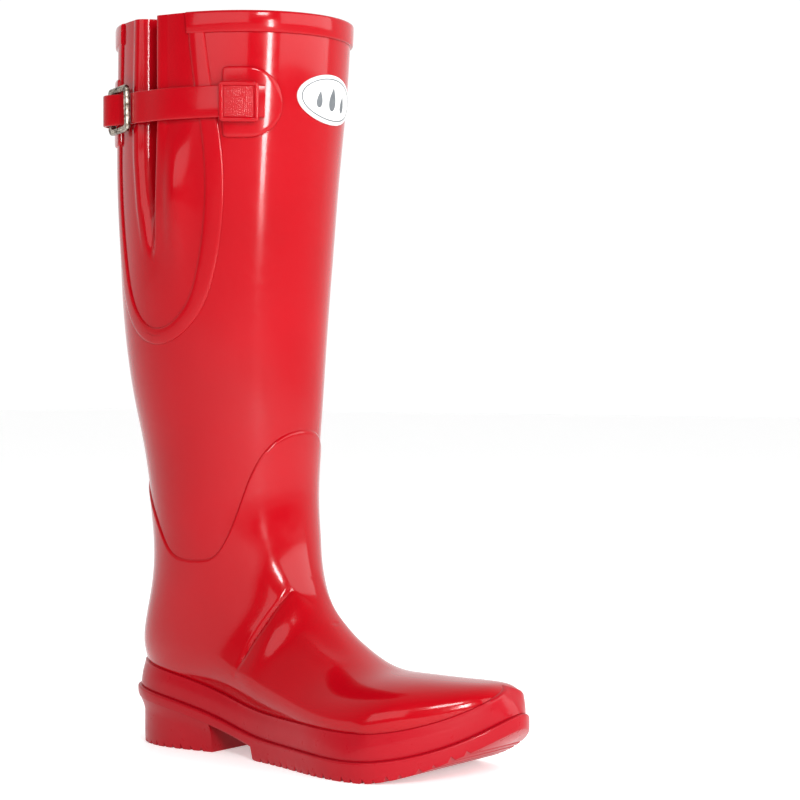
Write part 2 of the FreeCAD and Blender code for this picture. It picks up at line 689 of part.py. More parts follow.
def make_buckle_frame():
    """Cast frame, open at the rear, where the pin closes it; ribs are cut across both long bars."""
    body = blank("buckle_frame_body")
    length, bar = size("frame_length"), size("frame_bar")
    end, half, window = 2.2, size("frame_height") / 2, size("frame_window") / 2
    front = end - length
    pad(body, sketch_on(body, "XZ_Plane", "frame_outline", rounded_box(front, end, -half, half, 2.1)),
        "frame_plate", "Sheet.frame_thickness", True)
    pocket(body, sketch_on(body, "XZ_Plane", "frame_window",
                           rounded_box(front + 3.0, end + 6, -window, window, 1.5)), "window_cut")
    circle = [Part.Circle(Vector(0, 0, 0), Vector(0, 0, 1), size("pin_diameter") / 2)]
    pocket(body, sketch_on(body, "XY_Plane", "pin_hole", circle), "pin_cut")
    ribs = []
    for x in span(front + 4.2, end - 5.2, 8):
        for side in (1, -1):
            low, high = sorted((side * (window + 0.8), side * (window + bar - 0.8)))
            ribs += polyline([Vector(x, low, 0), Vector(x + 0.8, low, 0), Vector(x + 0.8, high, 0),
                              Vector(x, high, 0)])
    sketch = sketch_on(body, "XZ_Plane", "rib_grooves", ribs, "-Sheet.frame_thickness / 2")
    pocket(body, sketch, "rib_cut", "Sheet.print_depth", True)
    body.Placement = buckle_placement()
    return keep(body, "buckle_frame")


def make_buckle_pin():
    body = blank("buckle_pin_body")
    circle = [Part.Circle(Vector(0, 0, 0), Vector(0, 0, 1), size("pin_diameter") / 2)]
    pad(body, sketch_on(body, "XY_Plane", "pin_circle", circle), "pin_rod",
        "Sheet.frame_height - 1.2", True)
    body.Placement = buckle_placement()
    return keep(body, "buckle_pin")


def make_chape():
    """Rubber tab that loops round the pin and runs to the patch on the shaft."""
    body = blank("chape_body")
    pin, rearward, outward = buckle_places()
    thickness = size("chape_thickness")
    bore = size("pin_diameter") / 2 + size("pin_clearance")
    foot_offset = size("patch_thickness") + thickness / 2 + 0.05
    near, middle, far = [shaft_point(angle, STRAP_LEVEL, foot_offset)[0] for angle in (-136, -139, -142)]
    start = pin - outward * (bore + thickness / 2)
    run = flat(near - start)
    web = ribbon([flat(start), flat(start) + run * 0.5 - outward * 0.6, flat(near) + flat(start - near) * 0.1,
                  flat(middle), flat(far)], thickness, 24)
    height = "Sheet.chape_height"
    pad(body, sketch_on(body, "XY_Plane", "web_plan", web), "web", height, True)
    ring = [Part.Circle(flat(pin), Vector(0, 0, 1), bore + thickness)]
    pad(body, sketch_on(body, "XY_Plane", "ring_plan", ring), "ring", height, True)
    body.Placement = Placement(Vector(0, 0, STRAP_LEVEL), Rotation())
    hole = Part.makeCylinder(bore, 40, Vector(0, 0, -20))
    seat = buckle_placement()
    hole.Placement = Placement(seat.Base - HOME, seat.Rotation)
    return keep(cut("chape_bore", body, shaped("pin_bore", hole)), "buckle_chape")


def make_keeper():
    """Free loop round the strap's tail, bent to the rear of the shaft."""
    body = blank("keeper_body")
    centre, radius = tail_circle()
    wall, gap = size("keeper_wall"), size("keeper_gap")
    inside = radius + 0.5 + wall
    depth = size("strap_thickness") + 2 * gap
    bottom = size("strap_bottom") - gap
    top = size("strap_bottom") + size("strap_height") + gap
    outline = (rounded_box(inside - wall, inside + depth + wall, bottom - wall, top + wall, 1.2)
               + rounded_box(inside, inside + depth, bottom, top, 0.3))
    sketch = sketch_on(body, "XZ_Plane", "keeper_section", outline)
    loop = body.newObject("PartDesign::Revolution", "keeper_loop")
    loop.Profile = sketch
    loop.ReferenceAxis = (next(f for f in body.Origin.OriginFeatures if f.Role == "Z_Axis"), [""])
    loop.setExpression("Angle", "Sheet.keeper_angle")
    loop.Midplane = True
    body.Placement = Placement(centre + HOME, Rotation(Vector(0, 0, 1), 180 + 4))
    return keep(body, "tail_keeper")


# ---------------------------------------------------------------- the badge's generic print
def drop_outline(u, v, tall):
    """Raindrop with its point up, as points round its edge."""
    return [(u + tall * 0.30 * math.sin(a) * math.sin(a / 2), v + tall * 0.5 * math.cos(a))
            for a in span(0, 2 * math.pi, 25)[:-1]]


def oval(length, height, count=48):
    return [(length / 2 * math.cos(a), height / 2 * math.sin(a))
            for a in span(0, 2 * math.pi, count + 1)[:-1]]


BADGE_ANGLE = 6.5
BADGE_LEVEL = 376.5


def make_forms():
    """The nested closed forms that the layers lie between, from the outside in."""
    layer, gap = size("overlay_thickness"), size("layer_gap")
    wall, lining = size("wall_thickness"), size("lining_thickness")
    stiff, slack = size("stiffener_depth"), size("lining_gap")
    floor = wall + size("board_thickness") + 2 * gap
    bed = floor + lining + slack
    return {
        "patch": form(-size("patch_thickness")),
        "binding": form(-size("binding_thickness")),
        "overlay": form(-layer),
        "trim": form(-size("trim_thickness")),
        "filler_limit": form(-layer - 2 * gap),
        "skin": form(0),
        "stiffener_pocket": form(stiff),
        "stiffener_outer": form(stiff + gap),
        "panel_inner": form(wall - 0.15),
        "stiffener_inner": form(wall - gap),
        "wall_inner": form(wall),
        "lining_outer": form(wall + slack, floor),
        "lining_inner": form(wall + slack + lining, floor + lining),
        "bed_base": form(wall + 2 * slack + lining, bed),
        "bed_top": form(wall + 2 * slack + lining, bed + size("footbed_thickness")),
    }


def make_sole_unit(forms):
    make_outsole()
    make_heel_block()
    make_foxing(shaped("overlay_form", forms["overlay"]))
    make_filler(forms["filler_limit"], shaped("overlay_over_filler", forms["overlay"]), make_shank())
    make_inner_sole("insole_board", shaped("wall_form", forms["wall_inner"]),
                    shaped("lining_form", forms["lining_outer"]), 9.5, 9)
    make_inner_sole("cushion_insole", shaped("bed_form", forms["bed_base"]),
                    shaped("bed_top_form", forms["bed_top"]), 12.5, 14)


def make_upper(forms):
    """Shell, lining, stiffeners and overlay, all open where the gusset is let in."""
    skin, opening = forms["skin"], tongue_prism(0)
    toe = Part.makeBox(80, 200, 60, Vector(205 * SCALE.x, -100, 34))
    heel = Part.makeBox(72, 200, 62, Vector(-12, -100, 42))
    shell = skin.cut(forms["wall_inner"])
    for pocket_box in (toe, heel):
        shell = shell.cut(forms["stiffener_pocket"].common(pocket_box))
    keep(shaped("leg_shell_shape", shell.cut(opening)), "leg_shell")
    lining = forms["lining_outer"].cut(forms["lining_inner"])
    keep(shaped("textile_lining_shape", lining.cut(opening)), "textile_lining")
    stiffener = forms["stiffener_outer"].cut(forms["stiffener_inner"])
    keep(shaped("toe_puff_shape", stiffener.common(toe)), "toe_puff")
    keep(shaped("heel_counter_shape", stiffener.common(heel)), "heel_counter")
    overlay = forms["overlay"].cut(skin).common(overlay_side())
    keep(shaped("foot_overlay_shape", overlay), "foot_overlay")
    make_gusset_panel(skin, forms["panel_inner"], opening)


def make_trims(forms):
    """U-shaped trim round the gusset, rim binding, and the two patches that carry the strap."""
    skin, rim, height = forms["skin"], size("boot_height"), size("binding_height")
    band = tongue_prism(TRIM_HALF_WIDTH).cut(tongue_prism(-TRIM_HALF_WIDTH))
    trim = forms["trim"].cut(skin).common(band)
    keep(shaped("gusset_trim_shape", trim), "gusset_trim")
    top_ring = Part.makeBox(400, 300, height, Vector(-100, -150, rim - height))
    binding = forms["binding"].cut(skin).common(top_ring).cut(trim)
    keep(shaped("top_binding_shape", binding.cut(tongue_prism(-TRIM_HALF_WIDTH - 2.5))), "top_binding")
    patch_skin = forms["patch"].cut(skin).cut(trim)
    front = window_prism(-46, STRAP_LEVEL, d_outline(-13.5, 29, 19.8))
    rear = window_prism(-137, STRAP_LEVEL, d_outline(13, -26, 19.8))
    keep(shaped("strap_anchor_patch_shape", patch_skin.common(front)), "strap_anchor_patch")
    keep(shaped("buckle_patch_shape", patch_skin.common(rear)), "buckle_patch")


def make_anchor_loop(strap, patch_form):
    """Square moulded loop that the strap's front end runs through, with a sunk face."""
    height, wall = size("anchor_height"), size("anchor_wall")
    thick = size("strap_thickness") + 1.05
    block = form(-size("patch_thickness") - thick - 1.3)
    half, low = 10.5, size("anchor_bottom") - STRAP_LEVEL
    square = [(-half, low), (half, low), (half, low + height), (-half, low + height)]
    face = [(-half + wall, low + wall), (half - wall, low + wall), (half - wall, low + height - wall),
            (-half + wall, low + height - wall)]
    loop = block.cut(patch_form).common(window_prism(-49.5, STRAP_LEVEL, square))
    sunk = block.cut(form(-size("patch_thickness") - thick - 0.7))
    loop = loop.cut(sunk.common(window_prism(-49.5, STRAP_LEVEL, face)))
    slot = Part.Face(Part.Wire(Part.sortEdges([g.toShape() for g in
                                               ribbon(strap_path()[:8], size("strap_thickness") + 0.3)])[0]))
    slot.translate(Vector(0, 0, size("strap_bottom") - 0.15))
    loop = loop.cut(slot.extrude(Vector(0, 0, size("strap_height") + 0.3)))
    keep(shaped("strap_anchor_loop_shape", loop), "strap_anchor_loop")


def make_badge(skin):
    """Oval badge on the front of the shaft, with a thin ring and three raindrops printed on it."""
    length, height, thick = size("badge_length"), size("badge_height"), size("badge_thickness")
    plate_form = form(-thick)
    plate = plate_form.cut(skin).common(window_prism(BADGE_ANGLE, BADGE_LEVEL, oval(length, height)))
    keep(shaped("badge_plate_shape", plate), "badge_plate")
    ink = form(-thick - size("print_depth")).cut(plate_form)
    ring = window_prism(BADGE_ANGLE, BADGE_LEVEL, oval(length - 4, height - 4))
    ring = ring.cut(window_prism(BADGE_ANGLE, BADGE_LEVEL, oval(length - 5.4, height - 5.4)))
    marks = [ink.common(ring)]
    for u, v, tall in ((-10, -0.5, 11), (0, 0.8, 15), (10, -0.5, 11)):
        marks.append(ink.common(window_prism(BADGE_ANGLE, BADGE_LEVEL, drop_outline(u, v, tall))))
    keep(shaped("badge_print_shape", Part.makeCompound([m for mark in marks for m in mark.Solids])),
         "badge_print")


def write_parts():
    """Put every sub-part in place, check it and write it."""
    doc.recompute()
    failed = [o.Label for o in doc.Objects if "Invalid" in o.State or "Error" in o.State]
    if failed:
        raise RuntimeError(f"failed objects: {failed}")
    os.makedirs("parts", exist_ok=True)
    for part in PARTS:
        if part.Placement.isIdentity():
            part.Placement = Placement(HOME, Rotation())
        if part.Shape.isNull() or not part.Shape.isValid() or not part.Shape.Solids:
            raise RuntimeError(f"bad shape: {part.Label}")
        part.Shape.exportStep(f"parts/{part.Label}.step")
        print(f"{part.Label}: {len(part.Shape.Solids)} solid(s), {part.Shape.Volume:.0f} mm3")


FORMS = make_forms()
make_sole_unit(FORMS)
make_upper(FORMS)
make_trims(FORMS)
STRAP = make_strap()
make_anchor_loop(STRAP, FORMS["patch"])
make_buckle_frame()
make_buckle_pin()
make_chape()
make_keeper()
make_badge(FORMS["skin"])
write_parts()
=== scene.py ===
"""Looks for the rubber rain boot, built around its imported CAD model.

Lengths are drawn in millimetres in the foot's own frame (x = 0 at the rear of the heel, +x to the toe,
the outer side at -y, the floor at z = 0) and moved to the part's frame, in metres, when a mesh is made.
"""
import math

import bmesh
import bpy
import numpy as np
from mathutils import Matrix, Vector
from mathutils.bvhtree import BVHTree


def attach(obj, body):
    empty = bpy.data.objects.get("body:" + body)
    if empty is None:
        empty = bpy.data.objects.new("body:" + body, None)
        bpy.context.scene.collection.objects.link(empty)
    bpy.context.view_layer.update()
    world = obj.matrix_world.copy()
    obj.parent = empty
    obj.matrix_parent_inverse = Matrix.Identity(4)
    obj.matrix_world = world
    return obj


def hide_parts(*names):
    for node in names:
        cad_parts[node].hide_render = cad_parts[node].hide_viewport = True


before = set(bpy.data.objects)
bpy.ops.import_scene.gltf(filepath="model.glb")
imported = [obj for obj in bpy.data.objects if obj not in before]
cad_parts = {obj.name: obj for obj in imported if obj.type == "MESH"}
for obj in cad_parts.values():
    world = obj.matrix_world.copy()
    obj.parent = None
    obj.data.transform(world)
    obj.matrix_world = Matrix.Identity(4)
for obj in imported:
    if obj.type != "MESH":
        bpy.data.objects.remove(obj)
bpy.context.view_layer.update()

HOME = np.array([-123.5, -2.1, 0.0])
MM = 0.001


def add(name, data):
    """New object in the scene."""
    obj = bpy.data.objects.new(name, data)
    bpy.context.scene.collection.objects.link(obj)
    return obj


# ---------------------------------------------------------------- the camera, first
camera = add("camera", bpy.data.cameras.new("camera"))
bpy.context.scene.camera = camera
CAMERA_AT = (np.array([897.25, -956.51, 219.69]) + HOME) * MM
LOOK = Vector((-0.59322, 0.80496, -0.01161))
camera.location = CAMERA_AT
camera.rotation_euler = LOOK.to_track_quat("-Z", "Y").to_euler()
camera.data.sensor_width = 36
camera.data.lens = 96.4
camera.data.shift_x = -0.00785
camera.data.shift_y = -0.0012
camera.data.clip_end = 20

# ---------------------------------------------------------------- the boot's form
RIM = 423.0
HEEL_BACK, TOE_TIP = 0, 261
# Rear x, z; front x, z; centre y; outer and inner half breadth; widest place; roundness rear and front.
SECTIONS = np.array([
    (-7.8, 423, 137.4, 423, 2.2, 62.4, 62.4, .50, 2.0, 2.0),
    (-8.2, 379, 134.2, 379, 2.2, 61.2, 61.2, .50, 2.0, 2.0),
    (-8.7, 337, 129.7, 337, 2.0, 59.5, 59.5, .50, 2.0, 2.0),
    (-7.8, 295, 126.0, 295, 1.9, 57.5, 57.5, .50, 2.0, 2.0),
    (-5.6, 252, 122.4, 252, 1.8, 55.0, 55.0, .50, 2.0, 2.0),
    (0.3, 210, 119.7, 210, 1.9, 51.3, 51.3, .50, 2.0, 2.0),
    (7.3, 179, 117.7, 179, 2.0, 47.5, 47.5, .50, 2.0, 2.0),
    (12.8, 148, 116.3, 149, 2.2, 44.5, 44.5, .50, 2.05, 2.0),
    (16.2, 118, 118.2, 126, 2.3, 43.0, 43.0, .49, 2.1, 2.0),
    (13.5, 90, 121.2, 110.5, 2.2, 41.0, 41.0, .47, 2.2, 2.0),
    (6.8, 63, 126.9, 95.5, 1.8, 38.0, 38.0, .46, 2.3, 2.05),
    (6.2, 44.5, 135.0, 83.3, 1.0, 35.5, 35.5, .46, 2.05, 2.1),
    (22.0, 35.5, 146.2, 72.7, 0.3, 34.5, 34.5, .46, 3.4, 2.15),
    (55.0, 30.0, 157.5, 64.3, -0.5, 35.5, 35.5, .45, 4.5, 2.2),
    (92.0, 20.5, 170.0, 57.4, -1.5, 38.5, 38.5, .40, 4.5, 2.2),
    (130.0, 15.0, 183.0, 53.6, -2.0, 42.0, 41.5, .33, 4.5, 2.25),
    (166.0, 14.5, 197.0, 52.6, -1.5, 44.5, 43.5, .30, 4.2, 2.3),
    (196.0, 16.0, 211.0, 51.9, 0.5, 44.0, 43.5, .28, 4.0, 2.35),
    (219.0, 21.5, 224.0, 51.2, 4.5, 36.0, 38.0, .30, 3.5, 2.4),
    (235.0, 27.0, 236.5, 50.6, 9.0, 27.0, 28.5, .34, 3.0, 2.5),
    (246.0, 32.0, 246.8, 49.2, 12.0, 18.0, 19.0, .40, 2.6, 2.5),
    (253.5, 37.0, 252.8, 45.5, 13.0, 9.0, 10.0, .50, 2.2, 2.3)])
LAST = len(SECTIONS) - 1
SOLE_EDGE = np.array([
    (0, 0), (5, -17), (18, -27), (35, -31), (60, -29.5), (85, -28), (110, -31.5), (145, -41.5), (180, -50.5),
    (200, -49), (222, -36), (242, -17), (257, 2), (261, 13), (257, 26), (243, 38.5), (222, 46.5), (195, 48.5),
    (165, 46), (130, 38), (95, 32), (60, 31.5), (35, 31), (18, 26.5), (5, 16)])
LEDGE = np.array([(0, 35), (40, 30), (75, 21.5), (100, 14.5), (125, 12), (150, 11.5), (180, 11), (205, 12),
                  (230, 17.5), (250, 27.5), (261, 35.5)])


def natural_spline(places, values):
    """Function giving the natural cubic spline through the values; extends in straight lines."""
    x, y = np.asarray(places, float), np.asarray(values, float)
    n, h = len(x), np.diff(x)
    a, b = np.eye(n), np.zeros(y.shape)
    for i in range(1, n - 1):
        a[i, i - 1:i + 2] = h[i - 1], 2 * (h[i - 1] + h[i]), h[i]
        b[i] = 6 * ((y[i + 1] - y[i]) / h[i] - (y[i] - y[i - 1]) / h[i - 1])
    m = np.linalg.solve(a, b)

    def value(at):
        at = np.asarray(at, float)
        i = np.clip(np.searchsorted(x, at) - 1, 0, n - 2)
        w, run = (at - x[i]) / h[i], h[i]
        if y.ndim > 1:
            w, run = w[..., None], run[..., None]
        bend = ((w ** 3 - w) * m[i + 1] + ((1 - w) ** 3 - (1 - w)) * m[i]) * run * run / 6
        return (1 - w) * y[i] + w * y[i + 1] + bend

    return value


def reach_along(line):
    """Distance run along a polyline, at each of its points."""
    return np.r_[0, np.cumsum(np.linalg.norm(np.diff(line, axis=0), axis=1))]


def points_at(at, reach, line):
    """Points of a polyline at places on its own scale."""
    return np.stack([np.interp(at, reach, line[:, k]) for k in range(line.shape[1])], axis=1)


def closed_spline(points, count):
    """Evenly spaced points on a smooth closed curve through the points."""
    p = np.asarray(points, float)
    wrapped = np.vstack([p[-4:], p, p[:5]])
    steps = reach_along(wrapped)
    curve = natural_spline(steps, wrapped)
    fine = curve(np.linspace(steps[4], steps[-5], 1201))
    return even(fine, count + 1)[:-1]


def even(line, count):
    """The polyline again, as evenly spaced points."""
    reach = reach_along(line)
    return points_at(np.linspace(0, reach[-1], count), reach, line)


ledge_height = natural_spline(LEDGE[:, 0], LEDGE[:, 1])
section_row = natural_spline(np.arange(len(SECTIONS)), SECTIONS)


def inset_curve(curve, distance):
    """A closed plan curve, anticlockwise, drawn in by the distance."""
    along = np.roll(curve, -1, axis=0) - np.roll(curve, 1, axis=0)
    along /= np.maximum(np.linalg.norm(along, axis=1), 1e-9)[:, None]
    return curve + np.stack([-along[:, 1], along[:, 0]], axis=1) * distance


feather = inset_curve(closed_spline(SOLE_EDGE, 600), 5.2)


def reach_of(curve, side):
    """Interpolator of a plan curve's half breadth over x, on one side."""
    part = curve[curve[:, 1] * side > 0]
    part = part[np.argsort(part[:, 0])]
    return lambda x: np.interp(x, part[:, 0], side * part[:, 1])


feather_reach = {-1: reach_of(feather, -1), 1: reach_of(feather, 1)}


def section_points(t, angles):
    """Points of the section at t, at the given angles: 0 is the front, negative the outer side."""
    rx, rz, fx, fz, cy, outer, inner, widest, rear_round, front_round = section_row(np.array([float(t)]))[0]
    along, across = np.cos(angles), np.sin(angles)
    power = 2 / np.where(along >= 0, front_round, rear_round)
    place = widest + np.where(along >= 0, 1 - widest, -widest) * np.abs(along) ** power
    breadth = np.where(across >= 0, inner, outer) * np.abs(across) ** power
    x, z = rx + (fx - rx) * place, rz + (fz - rz) * place
    side = np.where(across >= 0, 1, -1)
    limit = np.where(side > 0, feather_reach[1](x), feather_reach[-1](x)) - side * cy
    limit = limit + 0.7 * np.maximum(z - ledge_height(np.clip(x, HEEL_BACK, TOE_TIP)) - 14.7, 0)
    limit = limit + 20 * np.maximum(x - 190, 0) / 35 + 3 * np.maximum(10 - x, 0)
    near = np.maximum(7 - np.abs(breadth - limit), 0) / 7
    soft = np.maximum(np.minimum(breadth, limit) - near * near * 7 / 4, 0)
    bound = (z < 150) & (x < 225)
    breadth = np.where(bound, np.minimum(breadth, soft), breadth)
    return np.stack([x, cy + side * breadth, z], axis=1)


ROWS, COLUMNS = 841, 360
HALF = COLUMNS // 2


def form_table():
    """Dense table of the skin: rows down the boot, columns from the front by the outer side and on."""
    table = np.zeros((ROWS, COLUMNS, 3))
    angle_table = np.zeros((ROWS, COLUMNS))
    sweep = np.linspace(0, 1, 721)
    for r, t in enumerate(np.linspace(0, LAST, ROWS)):
        for half, sign in ((0, -1), (1, 1)):
            angles = sign * math.pi * (1 - sweep if half else sweep)
            line = section_points(t, angles)
            reach = reach_along(line)
            at = np.linspace(0, reach[-1], HALF + 1)[:-1]
            part = slice(half * HALF, (half + 1) * HALF)
            table[r, part] = points_at(at, reach, line)
            angle_table[r, part] = np.interp(at, reach, angles)
    return table, angle_table


def grid_normals(table):
    """Outward normals of a table whose columns close on themselves."""
    down = np.gradient(table, axis=0)
    round_ = np.roll(table, -1, axis=1) - np.roll(table, 1, axis=1)
    normal = np.cross(round_, down)
    return normal / np.maximum(np.linalg.norm(normal, axis=2), 1e-9)[..., None]


# Wear folds, as lines of places, with their depth, their width and how far the rubber swells beside them.
FOLDS = [
    ([(121.5, -13.0, 97.5), (120.4, -14.6, 95.4), (116.8, -20.5, 88.0), (112.5, -25.3, 79.0),
      (105.7, -30.4, 66.3), (101.4, -33.2, 57.0), (95.0, -34.5, 46.0)], 1.5, 1.6, 1.5),
    ([(132.0, -19.0, 72.5), (137.0, -19.5, 69.0), (146.6, -21.1, 62.5), (155.0, -21.0, 58.9),
      (164.2, -19.0, 56.2)], -0.9, 4.0, -0.5),
    ([(121.0, 9.0, 108.0), (130.0, 11.0, 90.0), (141.0, 12.0, 77.0), (152.0, 12.0, 69.0)], -0.7, 3.5, -0.3),
]


def fold_heights(table):
    """Rise and fall of the skin round the wear folds."""
    height = np.zeros(table.shape[:2])
    for line, depth, width, swell in FOLDS:
        line = np.array(line)
        steps = np.linspace(0, len(line) - 1, 60)
        fine = points_at(steps, np.arange(len(line)), line)
        near = np.linalg.norm(table - fine.mean(axis=0), axis=2) < np.ptp(line, axis=0).max() + 25
        spots = table[near]
        gaps = np.linalg.norm(spots[:, None, :] - fine[None, :, :], axis=2)
        k = gaps.argmin(axis=1)
        away, apart = gaps[np.arange(len(k)), k], spots - fine[k]
        run = np.gradient(fine, axis=0)[k]
        side = np.sign(run[:, 0] * apart[:, 2] - run[:, 2] * apart[:, 0])
        taper = np.sin(np.pi * np.clip(k / 59, 0.0, 1.0)) ** 0.9
        beside = side * away
        height[near] += taper * (-depth * np.exp(-(away / width) ** 2) * np.where(beside > 0, 1.0, 0.75)
                                 + swell * np.exp(-((beside - 9.0) / 6.5) ** 2))
    return height


SKIN, SKIN_ANGLE = form_table()
SKIN_NORMAL = grid_normals(SKIN)
SKIN = SKIN + SKIN_NORMAL * fold_heights(SKIN)[..., None]
SKIN_NORMAL = grid_normals(SKIN)


def cubic_weights(w):
    return ((-w + 2 * w * w - w ** 3) / 2, (2 - 5 * w * w + 3 * w ** 3) / 2,
            (w + 4 * w * w - 3 * w ** 3) / 2, (w ** 3 - w * w) / 2)


def sample(table, t, q):
    """Smooth value of a table at t (0 at the rim to LAST at the toe) and q (turns round the boot)."""
    row = np.clip(np.asarray(t, float) / LAST * (ROWS - 1), 0, ROWS - 1)
    column = np.asarray(q, float) * COLUMNS
    r, c = np.floor(row).astype(int), np.floor(column).astype(int)
    wr, wc = cubic_weights(row - r), cubic_weights(column - c)
    total = 0
    for i in range(4):
        for j in range(4):
            piece = table[np.clip(r + i - 1, 0, ROWS - 1), (c + j - 1) % COLUMNS]
            total = total + piece * (wr[i] * wc[j])[..., None]
    return total


def skin(t, q, h=0.0):
    """Point on the boot's skin, raised by h."""
    t, q = np.broadcast_arrays(np.asarray(t, float), np.asarray(q, float))
    normal = sample(SKIN_NORMAL, t, q)
    normal = normal / np.linalg.norm(normal, axis=-1)[..., None]
    return sample(SKIN, t, q) + normal * np.broadcast_to(h, t.shape)[..., None]


# ---------------------------------------------------------------- finding places on the skin
SHAFT_ROWS = np.linspace(0, 9, 361)
SHAFT_HEIGHT = section_row(SHAFT_ROWS)[:, 1]


def row_at(z):
    """t of the level section at height z on the shaft."""
    return np.interp(-np.asarray(z, float), -SHAFT_HEIGHT, SHAFT_ROWS)


def shaft_place(angle, z):
    """t and q of a place on the shaft, from its angle in degrees and its height."""
    t = row_at(z)
    r = np.clip(np.rint(t / LAST * (ROWS - 1)).astype(int), 0, ROWS - 1)
    wanted = np.radians(angle)
    wanted = wanted - 2 * math.pi if wanted > 0 else wanted
    q = np.zeros(np.shape(t))
    for index in np.ndindex(np.shape(t)):
        row = SKIN_ANGLE[r[index]]
        unrolled = np.where(row > 0.0001, row - 2 * math.pi, row)
        q[index] = np.interp(wanted, unrolled[::-1], np.arange(COLUMNS)[::-1]) / COLUMNS
    return t, q


class Chart:
    """Flat drawing board held against the shaft: u runs forwards round it, v up, both in mm."""

    def __init__(self, angle, z, base=None, along=None):
        if base is None:
            t, q = shaft_place(np.array(angle), np.array(z))
            base = skin(t, q)
            normal = sample(SKIN_NORMAL, t, q)
            along = np.array([-normal[1], normal[0]])
            along /= np.linalg.norm(along)
        self.base, self.along, self.z = np.asarray(base)[:2], np.asarray(along), z
        self.middle = math.radians(angle)

    def place(self, u, v):
        """t and q under the board's point."""
        u, v = np.broadcast_arrays(np.asarray(u, float), np.asarray(v, float))
        t = row_at(v + self.z)
        rows = np.clip(np.rint(t / LAST * (ROWS - 1)).astype(int), 0, ROWS - 1)
        q = np.zeros(u.shape)
        for r in np.unique(rows):
            here = rows == r
            angle = SKIN_ANGLE[r]
            turn = (angle - self.middle + math.pi) % (2 * math.pi) - math.pi
            order = np.argsort(turn)
            order = order[np.abs(turn[order]) < 1.35]
            at = (SKIN[r, order, :2] - self.base) @ self.along
            columns = order.astype(float)
            if (np.abs(np.diff(columns)) > COLUMNS / 2).any():
                columns = np.where(columns > COLUMNS / 2, columns - COLUMNS, columns)
            rise = np.argsort(at)
            q[here] = np.interp(u[here], at[rise], columns[rise]) / COLUMNS
        return t, q

    def spot(self, u, v, h=0.0):
        t, q = self.place(u, v)
        return skin(t, q, h)


# ---------------------------------------------------------------- making meshes
def to_world(points):
    return (np.asarray(points, float) + HOME) * MM


def mesh_object(name, points, faces, smooth_angle=35):
    mesh = bpy.data.meshes.new(name)
    mesh.from_pydata([tuple(p) for p in to_world(points).reshape(-1, 3)], [], faces)
    weld(mesh)
    shade(mesh, smooth_angle)
    return add(name, mesh)


def weld(mesh):
    """Join the points that meet, drop empty faces and turn the rest outwards."""
    bm = bmesh.new()
    bm.from_mesh(mesh)
    bmesh.ops.remove_doubles(bm, verts=bm.verts, dist=0.00002)
    bmesh.ops.dissolve_degenerate(bm, dist=0.00001, edges=bm.edges)
    bmesh.ops.recalc_face_normals(bm, faces=bm.faces)
    bm.to_mesh(mesh)
    bm.free()


def shade(mesh, smooth_angle):
    """Shade smoothly up to an angle between faces."""
    mesh.shade_smooth()
    mesh.set_sharp_from_angle(angle=math.radians(smooth_angle))


def grid_faces(rows, columns, close_rows=False, close_columns=False, start=0):
    faces = []
    for r in range(rows if close_rows else rows - 1):
        for c in range(columns if close_columns else columns - 1):
            a, b = r * columns + c, r * columns + (c + 1) % columns
            d, e = ((r + 1) % rows) * columns + c, ((r + 1) % rows) * columns + (c + 1) % columns
            faces.append((start + a, start + b, start + e, start + d))
    return faces


def tube_mesh(name, rings, closed=False, smooth_angle=35, slab=False):
    """Closed solid from rings of points; open runs get end faces, wound for a slab or for a tube."""
    rings = np.asarray(rings)
    n, m = rings.shape[:2]
    faces = grid_faces(n, m, close_rows=closed, close_columns=True)
    if not closed:
        step = -1 if slab else 1
        faces += [tuple(range(m))[::step], tuple(range((n - 1) * m, n * m))[::-step]]
    return mesh_object(name, rings, faces, smooth_angle)


def shell_mesh(name, outer, inner, close_columns=False, smooth_angle=35, walls=None, toe=False):
    """Closed solid between two grids of one size, walled at the sides of its first rows, as many as walls.

    With toe, each grid's last ring is closed on its own.
    """
    both = np.array([outer, inner])
    n, m = both.shape[1:3]
    faces = grid_faces(n, m, close_columns=close_columns)
    faces += [tuple(reversed(f)) for f in grid_faces(n, m, close_columns=close_columns, start=n * m)]
    top = list(range(m))
    bottom = [(n - 1) * m + k for k in range(m)]
    loops = [top] if toe else [top, bottom]
    if toe:
        ring = bottom if close_columns else bottom[:-1]
        faces += [tuple(ring), tuple(k + n * m for k in reversed(ring))]
    for line in loops:
        pairs = list(zip(line, line[1:])) + ([(line[-1], line[0])] if close_columns else [])
        faces += [(a, b, b + n * m, a + n * m) for a, b in pairs]
    if not close_columns:
        for column in (0, m - 1):
            line = [r * m + column for r in range(n if walls is None else walls)]
            faces += [(a, b, b + n * m, a + n * m) for a, b in zip(line, line[1:])]
    return mesh_object(name, both, faces, smooth_angle)


def rounded_rectangle(width, height, radius, steps=4):
    """Outline of a rounded rectangle round its centre, anticlockwise."""
    points = []
    for cx, cy, start in ((1, 1, 0), (-1, 1, 90), (-1, -1, 180), (1, -1, 270)):
        for k in range(steps + 1):
            a = math.radians(start + 90 * k / steps)
            points.append((cx * (width / 2 - radius) + radius * math.cos(a),
                           cy * (height / 2 - radius) + radius * math.sin(a)))
    return points


# ---------------------------------------------------------------- the gusset's outline
GUSSET_ANGLE = -97
TONGUE_BEND = 262
TONGUE = np.array([(0, 241.5), (10, 243.5), (19, 250), (26.5, 260), (32, 275), (36.5, 297), (39.3, 322),
                   (39.6, 347), (36.6, 383), (34.2, 409), (33.2, 432)])


def shaft_section(z):
    """The section's row of measures at height z on the shaft."""
    return section_row(np.array([float(row_at(z))]))[0]


